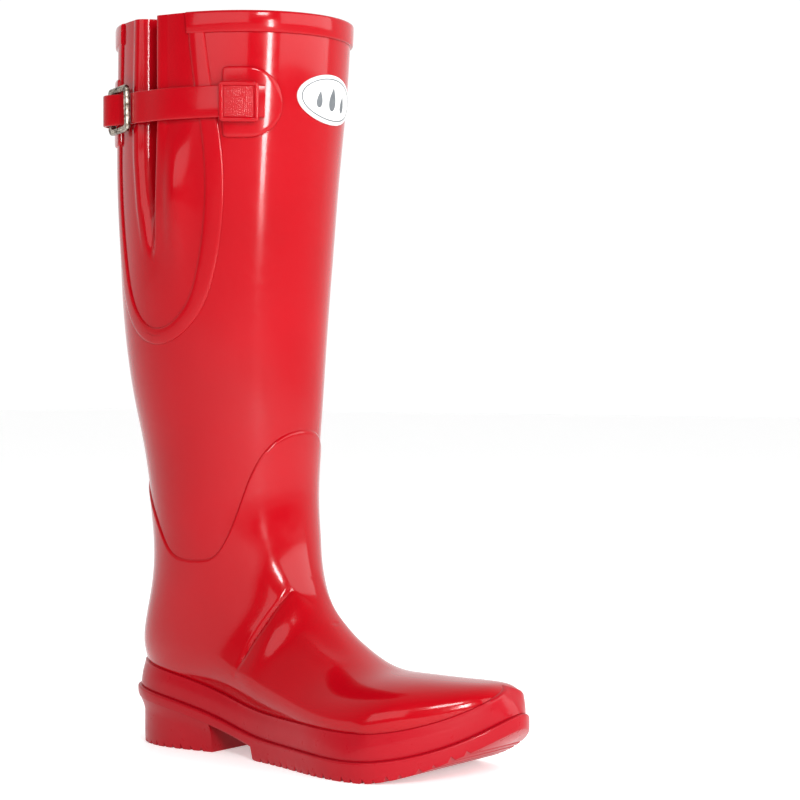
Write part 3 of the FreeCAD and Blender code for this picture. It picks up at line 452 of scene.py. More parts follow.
def gusset_chart():
    row = shaft_section(340.0)
    turn = math.radians(GUSSET_ANGLE + 90)
    middle = (row[0] + row[2]) / 2, row[4]
    return Chart(GUSSET_ANGLE, 0.0, base=middle, along=(math.cos(turn), math.sin(turn)))


GUSSET = gusset_chart()


def tongue_line():
    """Left rim to foot to right rim, as evenly spaced (u, z)."""
    left = [(-u, z) for u, z in TONGUE[::-1]]
    full = np.array(left + [tuple(p) for p in TONGUE[1:]], float)
    steps = reach_along(full)
    fine = natural_spline(steps, full)(np.linspace(0, steps[-1], 900))
    return even(fine[fine[:, 1] <= RIM + 0.001], 320)


TONGUE_LINE = tongue_line()
TONGUE_RIGHT = TONGUE_LINE[TONGUE_LINE[:, 0] >= 0]


def tongue_half(z):
    """Half width of the tongue at height z."""
    return np.interp(z, TONGUE_RIGHT[:, 1], TONGUE_RIGHT[:, 0], left=0.0)


def tongue_rows():
    """Heights of mesh rows that follow the tongue's round foot."""
    foot = TONGUE_RIGHT[TONGUE_RIGHT[:, 1] < TONGUE_BEND]
    return np.r_[even(foot, 22)[:, 1], np.linspace(TONGUE_BEND, RIM, 74)[1:]]


# ---------------------------------------------------------------- the leg: a sheet, open at the gusset
SHELL_COLUMNS = 300
WARP = 0.25


def open_rings(heights_and_rows, grow=0.0, columns=SHELL_COLUMNS):
    """t and q of a sheet round the boot that leaves the tongue open; rows come as (t, height or None)."""
    s = np.linspace(0, 1, columns + 1)
    rows_t, rows_q = [], []
    seam_last = float(GUSSET.place(0.0, 200.0)[1])
    for t, z in heights_and_rows:
        front = rear = 0.0
        seam = seam_last
        if z is not None:
            seam = float(GUSSET.place(0.0, z)[1]) if z > 200 else seam_last
            half = float(tongue_half(z))
            if half > 0:
                half += grow
                front = seam - float(GUSSET.place(half, z)[1])
                rear = float(GUSSET.place(-half, z)[1]) - seam
        q = seam - s
        q = q - front * np.maximum(1 - s / WARP, 0) + rear * np.maximum(1 - (1 - s) / WARP, 0)
        rows_t.append(np.full(columns + 1, t))
        rows_q.append(q)
    return np.array(rows_t), np.array(rows_q)


def build_leg(name, outside, inside, top=RIM):
    """Sheet of the leg and foot between two depths below the skin."""
    heights = tongue_rows()
    heights = np.r_[heights[heights <= top][::-1], np.linspace(239.5, 180, 26)]
    rows = [(float(row_at(z)), float(z)) for z in heights]
    rows += [(float(t), None) for t in np.linspace(6.0, LAST, 190)[1:]]
    t, q = open_rings(rows)
    split = sum(1 for _, z in rows if z is not None and tongue_half(z) > 0) + 1
    return shell_mesh(name, skin(t, q, -outside), skin(t, q, -inside), walls=split, toe=True)


leg_shell = build_leg("leg_shell_skin", 0.0, 2.35)
lining = build_leg("knitted_lining", 2.42, 3.2, top=421.5)

# ---------------------------------------------------------------- the gusset panel with its pleat
PLEAT_FOOT = 286.0


def pleat_section(z, half):
    """Path (u, depth) of the panel across the tongue: rolled rear lip, valley, sharp front edge."""
    a = min(max((z - PLEAT_FOOT) / (RIM - PLEAT_FOOT), 0.0), 1.0)
    levels = [0.0, 0.10, 0.22, 0.43, 0.62, 1.0]
    rear = np.interp(a, levels, [-6.0, -8.5, -11.0, -13.0, -12.5, -9.0])
    front = np.interp(a, levels, [0.5, 1.0, 2.0, 4.5, 6.0, 7.7])
    valley = np.interp(a, levels, [-2.6, -3.0, -3.4, -3.0, -0.5, 4.0])
    depth = np.interp(a, levels, [0.0, 2.6, 6.5, 14.0, 19.0, 29.0])
    full = min(depth / 6, 1.0)
    fall, climb = valley - rear, front - valley
    knots = np.array([
        (rear - 5.0, 0.0), (rear - 2.4, -0.55 * full), (rear, -0.2 * full),
        (rear + 0.16 * fall, 0.05 * depth), (rear + 0.36 * fall, 0.20 * depth),
        (rear + 0.58 * fall, 0.48 * depth), (rear + 0.80 * fall, 0.82 * depth),
        (valley - 0.05 * fall, 0.99 * depth), (valley + 0.30 * climb, 0.95 * depth),
        (valley + 0.62 * climb, 0.6 * depth), (valley + 0.86 * climb, 0.22 * depth),
        (front, 0.6 * full), (front + 1.1, -0.55 * full), (front + 3.2, -0.7 * full), (front + 8.0, 0.0)])
    limit = half - 2.0
    knots[:, 0] = np.clip(knots[:, 0], -limit, limit)
    left = np.linspace(-half, knots[0, 0], 14)[:-1]
    right = np.linspace(knots[-1, 0], half, 22)[1:]
    run = np.vstack([[(knots[0, 0] - 3, 0)], knots, [(knots[-1, 0] + 3, 0)]])
    inner = []
    for i in range(1, len(run) - 2):
        p0, p1, p2, p3 = run[i - 1], run[i], run[i + 1], run[i + 2]
        for w in np.linspace(0, 1, 7)[:-1]:
            inner.append(0.5 * ((2 * p1) + (p2 - p0) * w + (2 * p0 - 5 * p1 + 4 * p2 - p3) * w * w
                                + (3 * p1 - p0 - 3 * p2 + p3) * w ** 3))
    inner.append(knots[-1])
    return np.vstack([np.stack([left, 0 * left], 1), np.array(inner), np.stack([right, 0 * right], 1)])


def build_gusset():
    rows = []
    for z in tongue_rows()[:0:-1]:
        half = max(float(tongue_half(z)), 2.5)
        u, depth = pleat_section(z, half).T
        bulge = 3.2 * np.exp(-((u - 16.5) / 8) ** 2 - ((z - 322) / 34) ** 2)
        dent = 1.3 * np.exp(-((u - 17) / 7) ** 2 - ((z - 362) / 20) ** 2)
        t, q = GUSSET.place(u, np.full(len(u), z))
        rows.append(skin(t, q, (bulge - dent) * np.clip(1 - depth, 0, 1) - depth - 0.1))
    outer = np.array(rows)
    return shell_mesh("gusset_fold", outer, outer - sheet_normals(outer) * 1.5)


def sheet_normals(grid):
    """Normals of an open sheet on the shaft, on the side away from the shaft's middle."""
    normal = np.cross(np.gradient(grid, axis=1), np.gradient(grid, axis=0))
    normal /= np.maximum(np.linalg.norm(normal, axis=2), 1e-9)[..., None]
    outwards = grid[:, :1] - np.array([62.0, 2.0, 0.0])
    return normal if (normal[:, :1] * outwards * [1, 1, 0]).sum() > 0 else -normal


gusset = build_gusset()


# ---------------------------------------------------------------- strips laid on the shaft
def chart_strip(name, chart, line, profile):
    """Solid strip along a line of (u, z) on a chart; the profile is (sideways, height)."""
    tangent = np.gradient(line, axis=0)
    tangent /= np.linalg.norm(tangent, axis=1)[:, None]
    side = np.stack([tangent[:, 1], -tangent[:, 0]], axis=1)
    rings = [chart.spot(*(line + side * across).T, height) for across, height in profile]
    return tube_mesh(name, np.stack(rings, axis=1), smooth_angle=50)


trim = chart_strip("gusset_trim_band", GUSSET, TONGUE_LINE,
                   [(-4.5, -0.3), (-4.5, 0.55), (-4.1, 0.9), (-3.0, 1.0), (0, 1.25), (3.0, 1.0), (4.1, 0.9),
                    (4.5, 0.55), (4.5, -0.3)])

# ---------------------------------------------------------------- the second layer over foot and ankle
OVERLAY_TOP = np.array([(-16, 167), (8, 166), (24, 151), (40, 131), (51, 118), (63, 113.5), (76, 113.5),
                        (86, 118), (95, 136), (102, 159), (109, 175.5), (116, 185.5), (124, 191), (140, 192)])
overlay_top = natural_spline(OVERLAY_TOP[:, 0], OVERLAY_TOP[:, 1])


def first_crossing(values, ts):
    """t in each column at which the values first fall to zero."""
    below = values <= 0
    r = np.clip(below.argmax(axis=0), 1, len(ts) - 1)
    k = np.arange(values.shape[1])
    high, low = values[r - 1, k], values[r, k]
    w = np.clip(high / np.maximum(high - low, 1e-9), 0, 1)
    return ts[r - 1] + (ts[r] - ts[r - 1]) * w


def build_overlay():
    """Layer over the skin, from its curved top line down: a rounded step, then rows crowded at the ankle."""
    columns, count = 360, 210
    q = np.arange(columns) / columns
    ts = np.linspace(4.5, 10, 300)
    grid = skin(ts[:, None], q[None, :])
    level = overlay_top(np.clip(grid[..., 0], -16, 140))
    top = first_crossing(grid[..., 2] - level, ts)
    steps = np.array([0.0, 0.02, 0.04, 0.065, 0.1, 0.15])
    heights = np.r_[0.15, 0.55, 0.85, 0.98, 1.0, 1.0, np.full(count, 1.0)]
    crowd = np.linspace(0, 1, 400)
    weight = np.cumsum(1 + 1.6 * np.exp(-((crowd - 0.31) / 0.12) ** 2))
    reach = (weight - weight[0]) / (weight[-1] - weight[0])
    share = np.interp(np.linspace(0, 1, count + 1)[1:], reach, crowd)
    outer, inner = [], []
    for k, height in enumerate(heights):
        t = top + (steps[k] if k < 6 else 0.15 + (LAST - top - 0.15) * share[k - 6])
        outer.append(skin(t, q, height))
        inner.append(skin(t, q, 0.02))
    return shell_mesh("foot_layer", np.array(outer), np.array(inner), close_columns=True, toe=True)


overlay = build_overlay()

# ---------------------------------------------------------------- the sole unit
EDGE_COUNT = 420
edge = closed_spline(SOLE_EDGE, EDGE_COUNT)
edge_inward = inset_curve(edge, 1.0) - edge
SOLE_BREAST, TREAD_START = 72.5, 109
LOOK_FROM, LOOK_PAST = 25, 9


def tread_height(x):
    return 27.0 * (np.maximum(x - 197, 0) / 64) ** 1.8


def at_edge(inset, z):
    """Ring of points under the sole's outline, drawn in by inset, at heights z."""
    plan = edge + edge_inward * np.broadcast_to(inset, (EDGE_COUNT,))[:, None]
    return np.concatenate([plan, np.broadcast_to(z, (EDGE_COUNT,))[:, None]], axis=1)


def upper_hits(z_over_ledge, inset):
    """Where a level look inwards, from outside the sole's edge, meets the foot layer."""
    tree = BVHTree.FromObject(overlay, bpy.context.evaluated_depsgraph_get())
    start = at_edge(-LOOK_FROM, 0)
    ledge = ledge_height(np.clip(edge[:, 0], HEEL_BACK, TOE_TIP))
    found = at_edge(inset, ledge + z_over_ledge)
    for k in range(EDGE_COUNT):
        origin = np.array([start[k, 0], start[k, 1], ledge[k] + z_over_ledge])
        direction = np.array([edge_inward[k, 0], edge_inward[k, 1], 0.0])
        hit = tree.ray_cast(Vector(to_world(origin)), Vector(direction))
        if hit[0] is not None:
            spot = np.array(hit[0]) / MM - HOME
            farthest = LOOK_FROM + inset + LOOK_PAST
            found[k] = spot if (spot - origin) @ direction < farthest else origin + direction * farthest
    return found


def smooth_ring(ring, passes):
    """A closed ring of points, each drawn towards its neighbours."""
    for _ in range(passes):
        ring = (np.roll(ring, 1, axis=0) + 2 * ring + np.roll(ring, -1, axis=0)) / 4
    return ring


def build_foxing():
    """Band round the foot: it stands on the ledge, leans in with the upper and ends in a rounded top edge."""
    outward = -np.concatenate([edge_inward, np.zeros((EDGE_COUNT, 1))], axis=1)
    ledge = ledge_height(np.clip(edge[:, 0], HEEL_BACK, TOE_TIP))
    wall = smooth_ring(upper_hits(13.5, 5.0), 6)
    top_wall = smooth_ring(upper_hits(14.9, 5.0), 6)
    foot = at_edge(1.9, ledge)
    shoulder = wall + outward * 1.7
    over = ((shoulder - foot)[:, :2] * outward[:, :2]).sum(axis=1)
    shoulder[:, :2] -= outward[:, :2] * np.maximum(over + 0.2, 0)[:, None]
    rings = [at_edge(11.0, ledge - 0.1), at_edge(2.2, ledge - 0.1), foot + [0, 0, 0.35]]
    for share in (0.15, 0.35, 0.55, 0.75, 0.92):
        rings.append(foot + (shoulder - foot) * share + outward * 0.5 * math.sin(math.pi * share))
    rings += [shoulder, shoulder * 0.55 + (top_wall + outward * 0.6) * 0.45 + outward * 0.25 + [0, 0, 0.35],
              top_wall + outward * 0.45, top_wall - outward * 1.2, top_wall - outward * 2.4 - [0, 0, 5.0]]
    return tube_mesh("foxing_strip", np.stack(rings, axis=1), closed=True, smooth_angle=50)


foxing = build_foxing()


# ---------------------------------------------------------------- outlines and slabs
def signed_area(outline):
    x, y = np.asarray(outline, float).T
    return 0.5 * float((x * np.roll(y, -1) - np.roll(x, -1) * y).sum())


def round_outline(outline, count, passes):
    """Evenly spaced closed outline with its corners worn round."""
    closed = np.vstack([outline, outline[:1]])
    steps = reach_along(closed)
    ring = smooth_ring(points_at(np.linspace(0, steps[-1], count + 1)[:-1], steps, closed), passes)
    return ring if signed_area(ring) > 0 else ring[::-1]


def slab_rings(outline, profile, fills):
    """(u, v, height) rings of a slab: the profile (inset, height) at its edge, then rings that shrink."""
    rings = []
    for inset, height in profile:
        ring = inset_curve(outline, inset)
        rings.append(np.column_stack([ring, np.full(len(ring), height)]))
    last = rings[-1]
    middle = last.mean(axis=0)
    for share in fills:
        rings.append(middle + (last - middle) * [share, share, 1])
    return np.array(rings)


def chart_slab(name, chart, outline, profile, fills=(0.85, 0.7, 0.55, 0.4, 0.25, 0.1), smooth_angle=40):
    """Slab on the shaft, from its rim's underside up and in to the middle of its top."""
    return tube_mesh(name, chart.spot(*np.moveaxis(slab_rings(outline, profile, fills), -1, 0)),
                     smooth_angle=smooth_angle, slab=True)


def join(name, objects):
    """One object from several; the first one's name is replaced."""
    bm = bmesh.new()
    for obj in objects:
        bm.from_mesh(obj.data)
    mesh = bpy.data.meshes.new(name)
    bm.to_mesh(mesh)
    bm.free()
    for obj in objects:
        old = obj.data
        bpy.data.objects.remove(obj)
        bpy.data.meshes.remove(old)
    shade(mesh, 38)
    return add(name, mesh)


# ---------------------------------------------------------------- outsole and heel
def edge_branches(inset):
    """The sole's outline as its outer and its inner side: points that rise in x, and their inward normals."""
    dense = closed_spline(SOLE_EDGE, 3000)
    inward = inset_curve(dense, 1.0) - dense
    dense = dense + inward * inset
    rear, toe = dense[:, 0].argmin(), dense[:, 0].argmax()
    first = np.roll(np.arange(len(dense)), -rear)
    split = int(np.where(first == toe)[0][0])
    one, two = first[:split + 1], np.r_[first[split:], first[0]]
    sides = [one, two[::-1]]
    sides.sort(key=lambda rows: dense[rows, 1].mean())
    return [(dense[rows], inward[rows]) for rows in sides]


def stations(inset, notches, first, last):
    """x places of the sole's cross lines: evenly round the outline, and on each notch's corners."""
    marks = np.sort(np.concatenate([even(line, 190)[:, 0] for line, _ in edge_branches(inset)]))
    marks = marks[(marks >= first) & (marks <= last)]
    fixed = np.array([first, last] + [v for notch in notches for v in notch[:3]])
    far = np.abs(marks[:, None] - fixed[None, :]).min(axis=1) > 0.25
    marks = np.sort(np.r_[marks[far], fixed])
    return marks[np.r_[True, np.diff(marks) > 0.03]]


def sole_ring(xs, inset_base):
    """Points of the outline over the stations, outer side towards the toe and back on the inner side."""
    points, inward = [], []
    for line, normal in edge_branches(inset_base):
        xs_side = np.clip(xs, line[0, 0], line[-1, 0])
        points.append(np.stack([xs_side, np.interp(xs_side, line[:, 0], line[:, 1])], axis=1))
        inward.append(points_at(xs_side, line[:, 0], normal))
    return np.vstack([points[0], points[1][::-1]]), np.vstack([inward[0], inward[1][::-1]])


def notch_rise(x, notches):
    """How far the notched underside lies above its plain line."""
    rise = np.zeros(np.shape(x))
    for start, middle, end, deep in notches:
        rise = np.maximum(rise, np.interp(x, [start, middle, end], [0, deep, 0]))
    return rise


def sole_solid(name, xs, profile, underside, edge_inset, foot_inset, front=np.inf):
    """Solid under the outline: profile rows (inset, z at each ring point) down its side, strips below."""
    ring, inward = sole_ring(xs, edge_inset)
    rows = []
    for inset, z in profile(ring[:, 0]) + [(foot_inset, underside(ring[:, 0]))]:
        at = ring + inward * np.broadcast_to(inset, (len(ring),))[:, None]
        rows.append(np.column_stack([np.minimum(at[:, 0], front), at[:, 1], z]))
    rows = np.array(rows)
    n, m = rows.shape[:2]
    faces = grid_faces(n, m, close_columns=True)
    for start, step in ((0, 1), ((n - 1) * m, -1)):
        faces += [(start + k, start + k + 1, start + m - 2 - k, start + m - 1 - k)[::step]
                  for k in range(len(xs) - 1)]
    return mesh_object(name, rows, faces)


def tread_notches():
    """Uneven notches across the sole: start, middle, end and depth of each."""
    notches = []
    x, k = 112.5, 0
    while x < 249:
        width = (2.4, 3.0, 2.2, 2.8)[k % 4]
        deep = (2.0, 2.6, 1.7, 2.4)[(k * 3) % 4]
        notches.append((x, x + width * 0.45, x + width, deep))
        x += (6.6, 7.8, 6.2, 7.4)[(k * 2) % 4 if k % 2 else k % 3]
        k += 1
    return notches


def build_outsole():
    notches = tread_notches()
    corners = [(SOLE_BREAST, 73.0, 104.0, 0), (106.0, 107.0, TREAD_START, 0)]
    xs = stations(0.0, notches + corners, 0.02, float(edge[:, 0].max()) - 0.02)

    def underside(x):
        heel = ledge_height(x) - 6.0
        breast = float(ledge_height(np.array(SOLE_BREAST))) - 6.0
        waist = np.interp(x, [SOLE_BREAST, 104.0, 106.0, TREAD_START], [breast, 7.5, 0.5, 0.0])
        tread = tread_height(x) + notch_rise(x, notches)
        return np.where(x < SOLE_BREAST, heel, np.where(x < TREAD_START, waist, tread))

    def profile(x):
        ledge, under = ledge_height(x), underside(x)
        lower = np.clip((78 - x) / 6, 0, 1)
        tall = ledge - under
        return [(9.0, ledge), (1.5, ledge), (0.8, ledge - 0.05), (0.3, ledge - 0.3), (0.05, ledge - 0.75),
                (0.0, ledge - 1.4), (0.0, ledge - 0.45 * tall), (0.1 * lower, ledge - 0.7 * tall),
                (0.15 + 0.35 * lower, under + 0.6)]

    return sole_solid("outsole_moulding", xs, profile, underside, 0.0, 0.6)


def build_heel():
    notches = [(at, at + (1.1, 1.5, 0.9)[k % 3], at + (2.6, 3.0, 2.3)[k % 3], (2.2, 2.7, 1.9)[k * 2 % 3])
               for k, at in enumerate(12.5 + 6.9 * np.arange(8))]
    breast = 70.0
    xs = stations(1.0, notches, 1.02, breast)

    def underside(x):
        return notch_rise(x, notches) + 0.02

    def profile(x):
        top = ledge_height(x) - 5.9
        return [(0.0, top), (0.9, top - 2.2), (1.9, top - 4.6), (2.6, top - 6.6), (3.0, top - 9.0),
                (3.0, np.full(len(x), 8.0)), (3.2, underside(x) + 0.6)]

    return sole_solid("heel_moulding", xs, profile, underside, 1.0, 3.7, breast)


outsole = build_outsole()
heel = build_heel()


# ---------------------------------------------------------------- binding round the rim
def build_binding():
    """Band over the rim, from the trim's inner edge at the front round to the gusset's rear side."""
    profile = [(411.0, 0.02), (411.05, 0.9), (411.35, 1.4), (412.0, 1.6), (417.0, 1.65), (421.7, 1.6),
               (422.7, 1.3), (423.2, 0.6), (423.35, -0.3), (423.3, -1.8), (422.8, -2.6), (421.8, -2.9),
               (418.0, -2.9), (418.0, -1.0), (414.0, -0.6)]
    rings = []
    for z, height in profile:
        level = min(z, RIM)
        t, q = open_rings([(float(row_at(level)), level)], grow=-5.0)
        spot = skin(t[0], q[0], height)
        spot[:, 2] = z
        rings.append(spot)
    return tube_mesh("rim_binding", np.stack(rings, axis=1), smooth_angle=50)


binding = build_binding()

# ---------------------------------------------------------------- patches, strap, loop
STRAP_LEVEL = 372.3
STRAP_HEIGHT, STRAP_THICKNESS = 18.0, 1.8
STRAP_BOTTOM, STRAP_TOP = STRAP_LEVEL - STRAP_HEIGHT / 2, STRAP_LEVEL + STRAP_HEIGHT / 2
PATCH_THICKNESS, PATCH_HALF = 2.1, 19.8
KEEPER_GAP, KEEPER_WALL = 0.35, 1.4
BUCKLE_LENGTH, BUCKLE_HEIGHT, BUCKLE_DROP, PIN_BACK = 23.5, 27.0, 0.7, 2.2


def d_shape(flat_side, width, half):
    """Outline with one flat side and one round one, with worn corners."""
    turns = np.linspace(math.pi / 2, -math.pi / 2, 60)
    arc = np.stack([flat_side + width * (0.45 + 0.55 * np.cos(turns)), half * np.sin(turns)], axis=1)
    outline = np.vstack([[(flat_side, half)], arc, [(flat_side, -half)]])
    return round_outline(outline, 160, 14)


PATCH_EDGE = [(0, -0.25), (0, 0.9), (0.12, 1.3), (0.4, 1.7), (0.9, 1.95), (1.8, 2.08), (3.0, PATCH_THICKNESS)]
FRONT_CHART = Chart(-46, STRAP_LEVEL)
REAR_CHART = Chart(-137, STRAP_LEVEL)
front_patch = chart_slab("anchor_patch_skin", FRONT_CHART, d_shape(-13.5, 33.5, PATCH_HALF), PATCH_EDGE)
rear_patch = chart_slab("rear_patch_skin", REAR_CHART, d_shape(13, -26, PATCH_HALF), PATCH_EDGE)


def shaft_spot(angle, z, offset=0.0):
    """Point on the plain shaft in plan; the angle is 0 at the front and -90 at the outer side."""
    row = shaft_section(z)
    x, long_half, half = (row[0] + row[2]) / 2, (row[2] - row[0]) / 2, row[5]
    c, s = math.cos(math.radians(angle)), math.sin(math.radians(angle))
    normal = np.array([c / long_half, s / half])
    normal /= np.linalg.norm(normal)
    return np.array([x + long_half * c, row[4] + half * s]) + normal * offset


REARWARD = np.array([math.cos(math.radians(160)), math.sin(math.radians(160))])
OUTWARD = np.array([-math.sin(math.radians(160)), math.cos(math.radians(160))])
PIN = shaft_spot(-109.0, STRAP_LEVEL, 5.4) + REARWARD * (BUCKLE_LENGTH - 1.5 - PIN_BACK)


def tail_centre():
    row = shaft_section(STRAP_LEVEL)
    long_half, half = (row[2] - row[0]) / 2, row[5]
    radius = half ** 2 / long_half
    return np.array([row[0] + radius, row[4]]), radius


TAIL_CENTRE, TAIL_RADIUS = tail_centre()


def tail_spot(angle, offset):
    turn = math.radians(angle)
    return TAIL_CENTRE + np.array([math.cos(turn), math.sin(turn)]) * (TAIL_RADIUS + offset)


def plan_line(points, count):
    """Points of a smooth line in plan through the given ones."""
    steps = reach_along(points)
    return natural_spline(steps, points)(np.linspace(0, steps[-1], count))


def strap_line():
    """The strap's middle line in plan, from its front end over the gusset, through the buckle to its tail."""
    half = STRAP_THICKNESS / 2
    path = [shaft_spot(a, STRAP_LEVEL, o + half) for a, o in
            ((-37.5, 2.9), (-44, 2.9), (-50, 2.9), (-56, 2.9), (-66, 1.7), (-78, 1.3), (-90, 1.3),
             (-99, 1.4))]
    path += [PIN + REARWARD * along + OUTWARD * out for along, out in
             ((-25.5, -2.9), (-19.8, -3.0), (-15.5, -2.6), (-9, 0.6), (-3.5, 3.5), (0.6, 4.0), (4.6, 1.9),
              (8.5, -3.4))]
    path += [shaft_spot(a, STRAP_LEVEL, o + half) for a, o in ((-140.5, 4.0), (-147.5, 4.0), (-153.5, 3.7))]
    tail = KEEPER_GAP * 2 + KEEPER_WALL + half + 0.15
    path += [tail_spot(a, tail + more) for a, more in
             ((-158, 0.3), (-165, 0), (-171, 0), (-178, 0), (-185, 0), (-191, 0))]
    return plan_line(path, 150)


def upright_ribbon(name, line, bottom, top, thickness, radius, tip=0.0):
    """Band on edge along a line in plan, with rounded corners; the far tip may be rounded off."""
    run = np.gradient(line, axis=0)
    run /= np.linalg.norm(run, axis=1)[:, None]
    side = np.stack([-run[:, 1], run[:, 0]], axis=1)
    middle, height = (bottom + top) / 2, top - bottom
    reach = reach_along(line)
    left = reach[-1] - reach
    rings = []
    for k in range(len(line)):
        low = 0.0
        if tip and left[k] < tip:
            low = tip * (1 - math.sqrt(max(1 - (1 - left[k] / tip) ** 2, 0.02)))
        shape = rounded_rectangle(thickness, height - 2 * low, min(radius, thickness / 2 - 0.02), 4)
        rings.append([(*(line[k] + side[k] * a), middle + b) for a, b in shape])
    return tube_mesh(name, np.array(rings), smooth_angle=50)


strap = upright_ribbon("calf_strap", strap_line(), STRAP_BOTTOM, STRAP_TOP, STRAP_THICKNESS, 0.7, tip=7.0)


def build_loop():
    """Raised frame over the strap's front end, with a finely ribbed plate set into it."""
    chart = Chart(-49.5, STRAP_LEVEL)
    outline = round_outline(np.array(rounded_rectangle(21.0, 22.4, 2.2, 6)), 132, 1)
    profile = [(0, 1.9), (0, 5.6), (0.15, 6.05), (0.55, 6.35), (1.3, 6.4), (2.0, 6.3), (2.35, 6.05),
               (2.5, 5.65)]
    frame_part = chart_slab("loop_frame", chart, outline, profile)
    half_width, half_height, pitch = 7.9, 8.6, 1.9
    u, v = np.meshgrid(np.linspace(-half_width, half_width, 64), np.linspace(-half_height, half_height, 70))
    ridge = 0.16 * np.cos(2 * math.pi * (u + v) / pitch) * np.cos(2 * math.pi * (u - v) / pitch)
    border = np.minimum(half_width - np.abs(u), half_height - np.abs(v))
    lift = 5.95 + ridge * np.clip(border / 0.6, 0, 1)
    top = chart.spot(u, v, np.where(border < 0.01, 5.5, lift))
    under = chart.spot(u, v, 5.3)
    plate = shell_mesh("loop_plate", top, under)
    return join("strap_loop", [frame_part, plate])


loop = build_loop()


# ---------------------------------------------------------------- buckle
BUCKLE_ROLL = math.radians(3)


def round_turns(count):
    """Evenly spaced angles of one full turn."""
    return np.linspace(0, 2 * math.pi, count + 1)[:-1]


def buckle_spot(x, y, z):
    """Foot-frame place of a point given rearwards, outwards and up from the middle of the buckle's pin."""
    x, y, z = (np.asarray(v, float) for v in np.broadcast_arrays(x, y, z))
    rx = x * math.cos(BUCKLE_ROLL) + z * math.sin(BUCKLE_ROLL)
    rz = -x * math.sin(BUCKLE_ROLL) + z * math.cos(BUCKLE_ROLL)
    plan = PIN + rx[..., None] * REARWARD + y[..., None] * OUTWARD
    return np.concatenate([plan, (rz + STRAP_LEVEL - BUCKLE_DROP)[..., None]], axis=-1)


def build_buckle():
    """Cast ring frame with rounded edges, a sunk border and a row of beads on both long bars."""
    outer = np.array(rounded_rectangle(BUCKLE_LENGTH, BUCKLE_HEIGHT, 3.0, 39)) + [-9.55, 0]
    inner = np.array(rounded_rectangle(16.2, 19.8, 1.9, 39)) + [-10.2, 0]
    steps = [(0.0, -0.7), (0.0, 0.7), (0.05, 1.15), (0.13, 1.4), (0.2, 1.5), (0.26, 1.32), (0.34, 1.3),
             (0.66, 1.3), (0.74, 1.32), (0.8, 1.5), (0.87, 1.4), (0.95, 1.15), (1.0, 0.7), (1.0, -0.7),
             (0.93, -1.3), (0.8, -1.5), (0.2, -1.5), (0.07, -1.3)]
    rings = []
    for share, out in steps:
        flat = outer + (inner - outer) * share
        rings.append(buckle_spot(flat[:, 0], np.full(len(flat), out), flat[:, 1]))
    parts = [tube_mesh("buckle_ring", np.stack(rings, axis=1), closed=True, smooth_angle=45)]
    parts += [bead(x, z, 0.55, 0.8) for x in np.linspace(-17.5, -2.0, 9) for z in (-11.7, 11.7)]
    parts += [bead(-19.7, z, 0.62, 0.8) for z in np.linspace(-7.6, 7.6, 6)]
    return join("buckle_casting", parts)


def bead(x, z, long_radius, tall_radius):
    """Low oval stud on the buckle's face."""
    turns = round_turns(14)
    rings = []
    for k in range(5):
        a = math.radians(90 * k / 4.6)
        rings.append(buckle_spot(x + long_radius * math.cos(a) * np.cos(turns), 1.2 + 0.5 * math.sin(a),
                                 z + tall_radius * math.cos(a) * np.sin(turns)))
    return tube_mesh("bead", rings, slab=True)


buckle = build_buckle()


def build_chape():
    """Tab folded round the pin and laid down on its patch."""
    height, thickness, radius = 15.0, 1.3, 1.37 + 0.65
    foot = [shaft_spot(a, STRAP_LEVEL, PATCH_THICKNESS + 0.7) for a in (-136, -139, -142)]
    start = PIN - OUTWARD * radius
    line = plan_line([start, start + (foot[0] - start) * 0.5 - OUTWARD * 0.6, *foot], 30)
    bottom, top = STRAP_LEVEL - height / 2, STRAP_LEVEL + height / 2
    web = upright_ribbon("chape_web", line, bottom, top, thickness, 0.5)
    shape = rounded_rectangle(thickness, height, 0.5)
    rings = []
    for a in np.radians(np.linspace(0, 360, 49))[:-1]:
        side = REARWARD * math.cos(a) + OUTWARD * math.sin(a)
        rings.append([(*(PIN + side * (radius + p)), STRAP_LEVEL + q) for p, q in shape])
    return join("chape_tab", [web, tube_mesh("chape_ring", rings, closed=True, smooth_angle=50)])


chape = build_chape()


def build_keeper():
    """Loop round the strap's tail, with its rims worn a little round."""
    depth, height = STRAP_THICKNESS + 2 * KEEPER_GAP, STRAP_HEIGHT + 2 * KEEPER_GAP
    middle = TAIL_RADIUS + 0.5 + KEEPER_WALL + depth / 2
    outer = rounded_rectangle(depth + 2 * KEEPER_WALL, height + 2 * KEEPER_WALL, 1.3, 5)
    inner = rounded_rectangle(depth, height, 0.35, 5)
    grids = ([], [])
    for a in np.linspace(-4, 4, 9):
        worn = max(abs(a) - 3.2, 0) / 0.8
        turn = math.radians(184 + a)
        way = np.array([math.cos(turn), math.sin(turn)])
        for grid, shape, sign in zip(grids, (outer, inner), (-1, 1)):
            wide, tall = 1 + sign * 0.03 * worn, 1 + sign * 0.01 * worn
            grid.append([(*(TAIL_CENTRE + way * (middle + p * wide)), STRAP_LEVEL + q * tall)
                         for p, q in shape])
    return shell_mesh("keeper_loop", *grids, close_columns=True, smooth_angle=50)


keeper = build_keeper()

# ---------------------------------------------------------------- badge
BADGE_CHART = Chart(4.5, 376.5)
BADGE_TILT = math.radians(-3)


def tilted(points):
    c, s = math.cos(BADGE_TILT), math.sin(BADGE_TILT)
    return points @ np.array([[c, s], [-s, c]])


def badge_oval(length, height):
    a = round_turns(120)
    return tilted(np.stack([length / 2 * np.cos(a), height / 2 * np.sin(a)], axis=1))


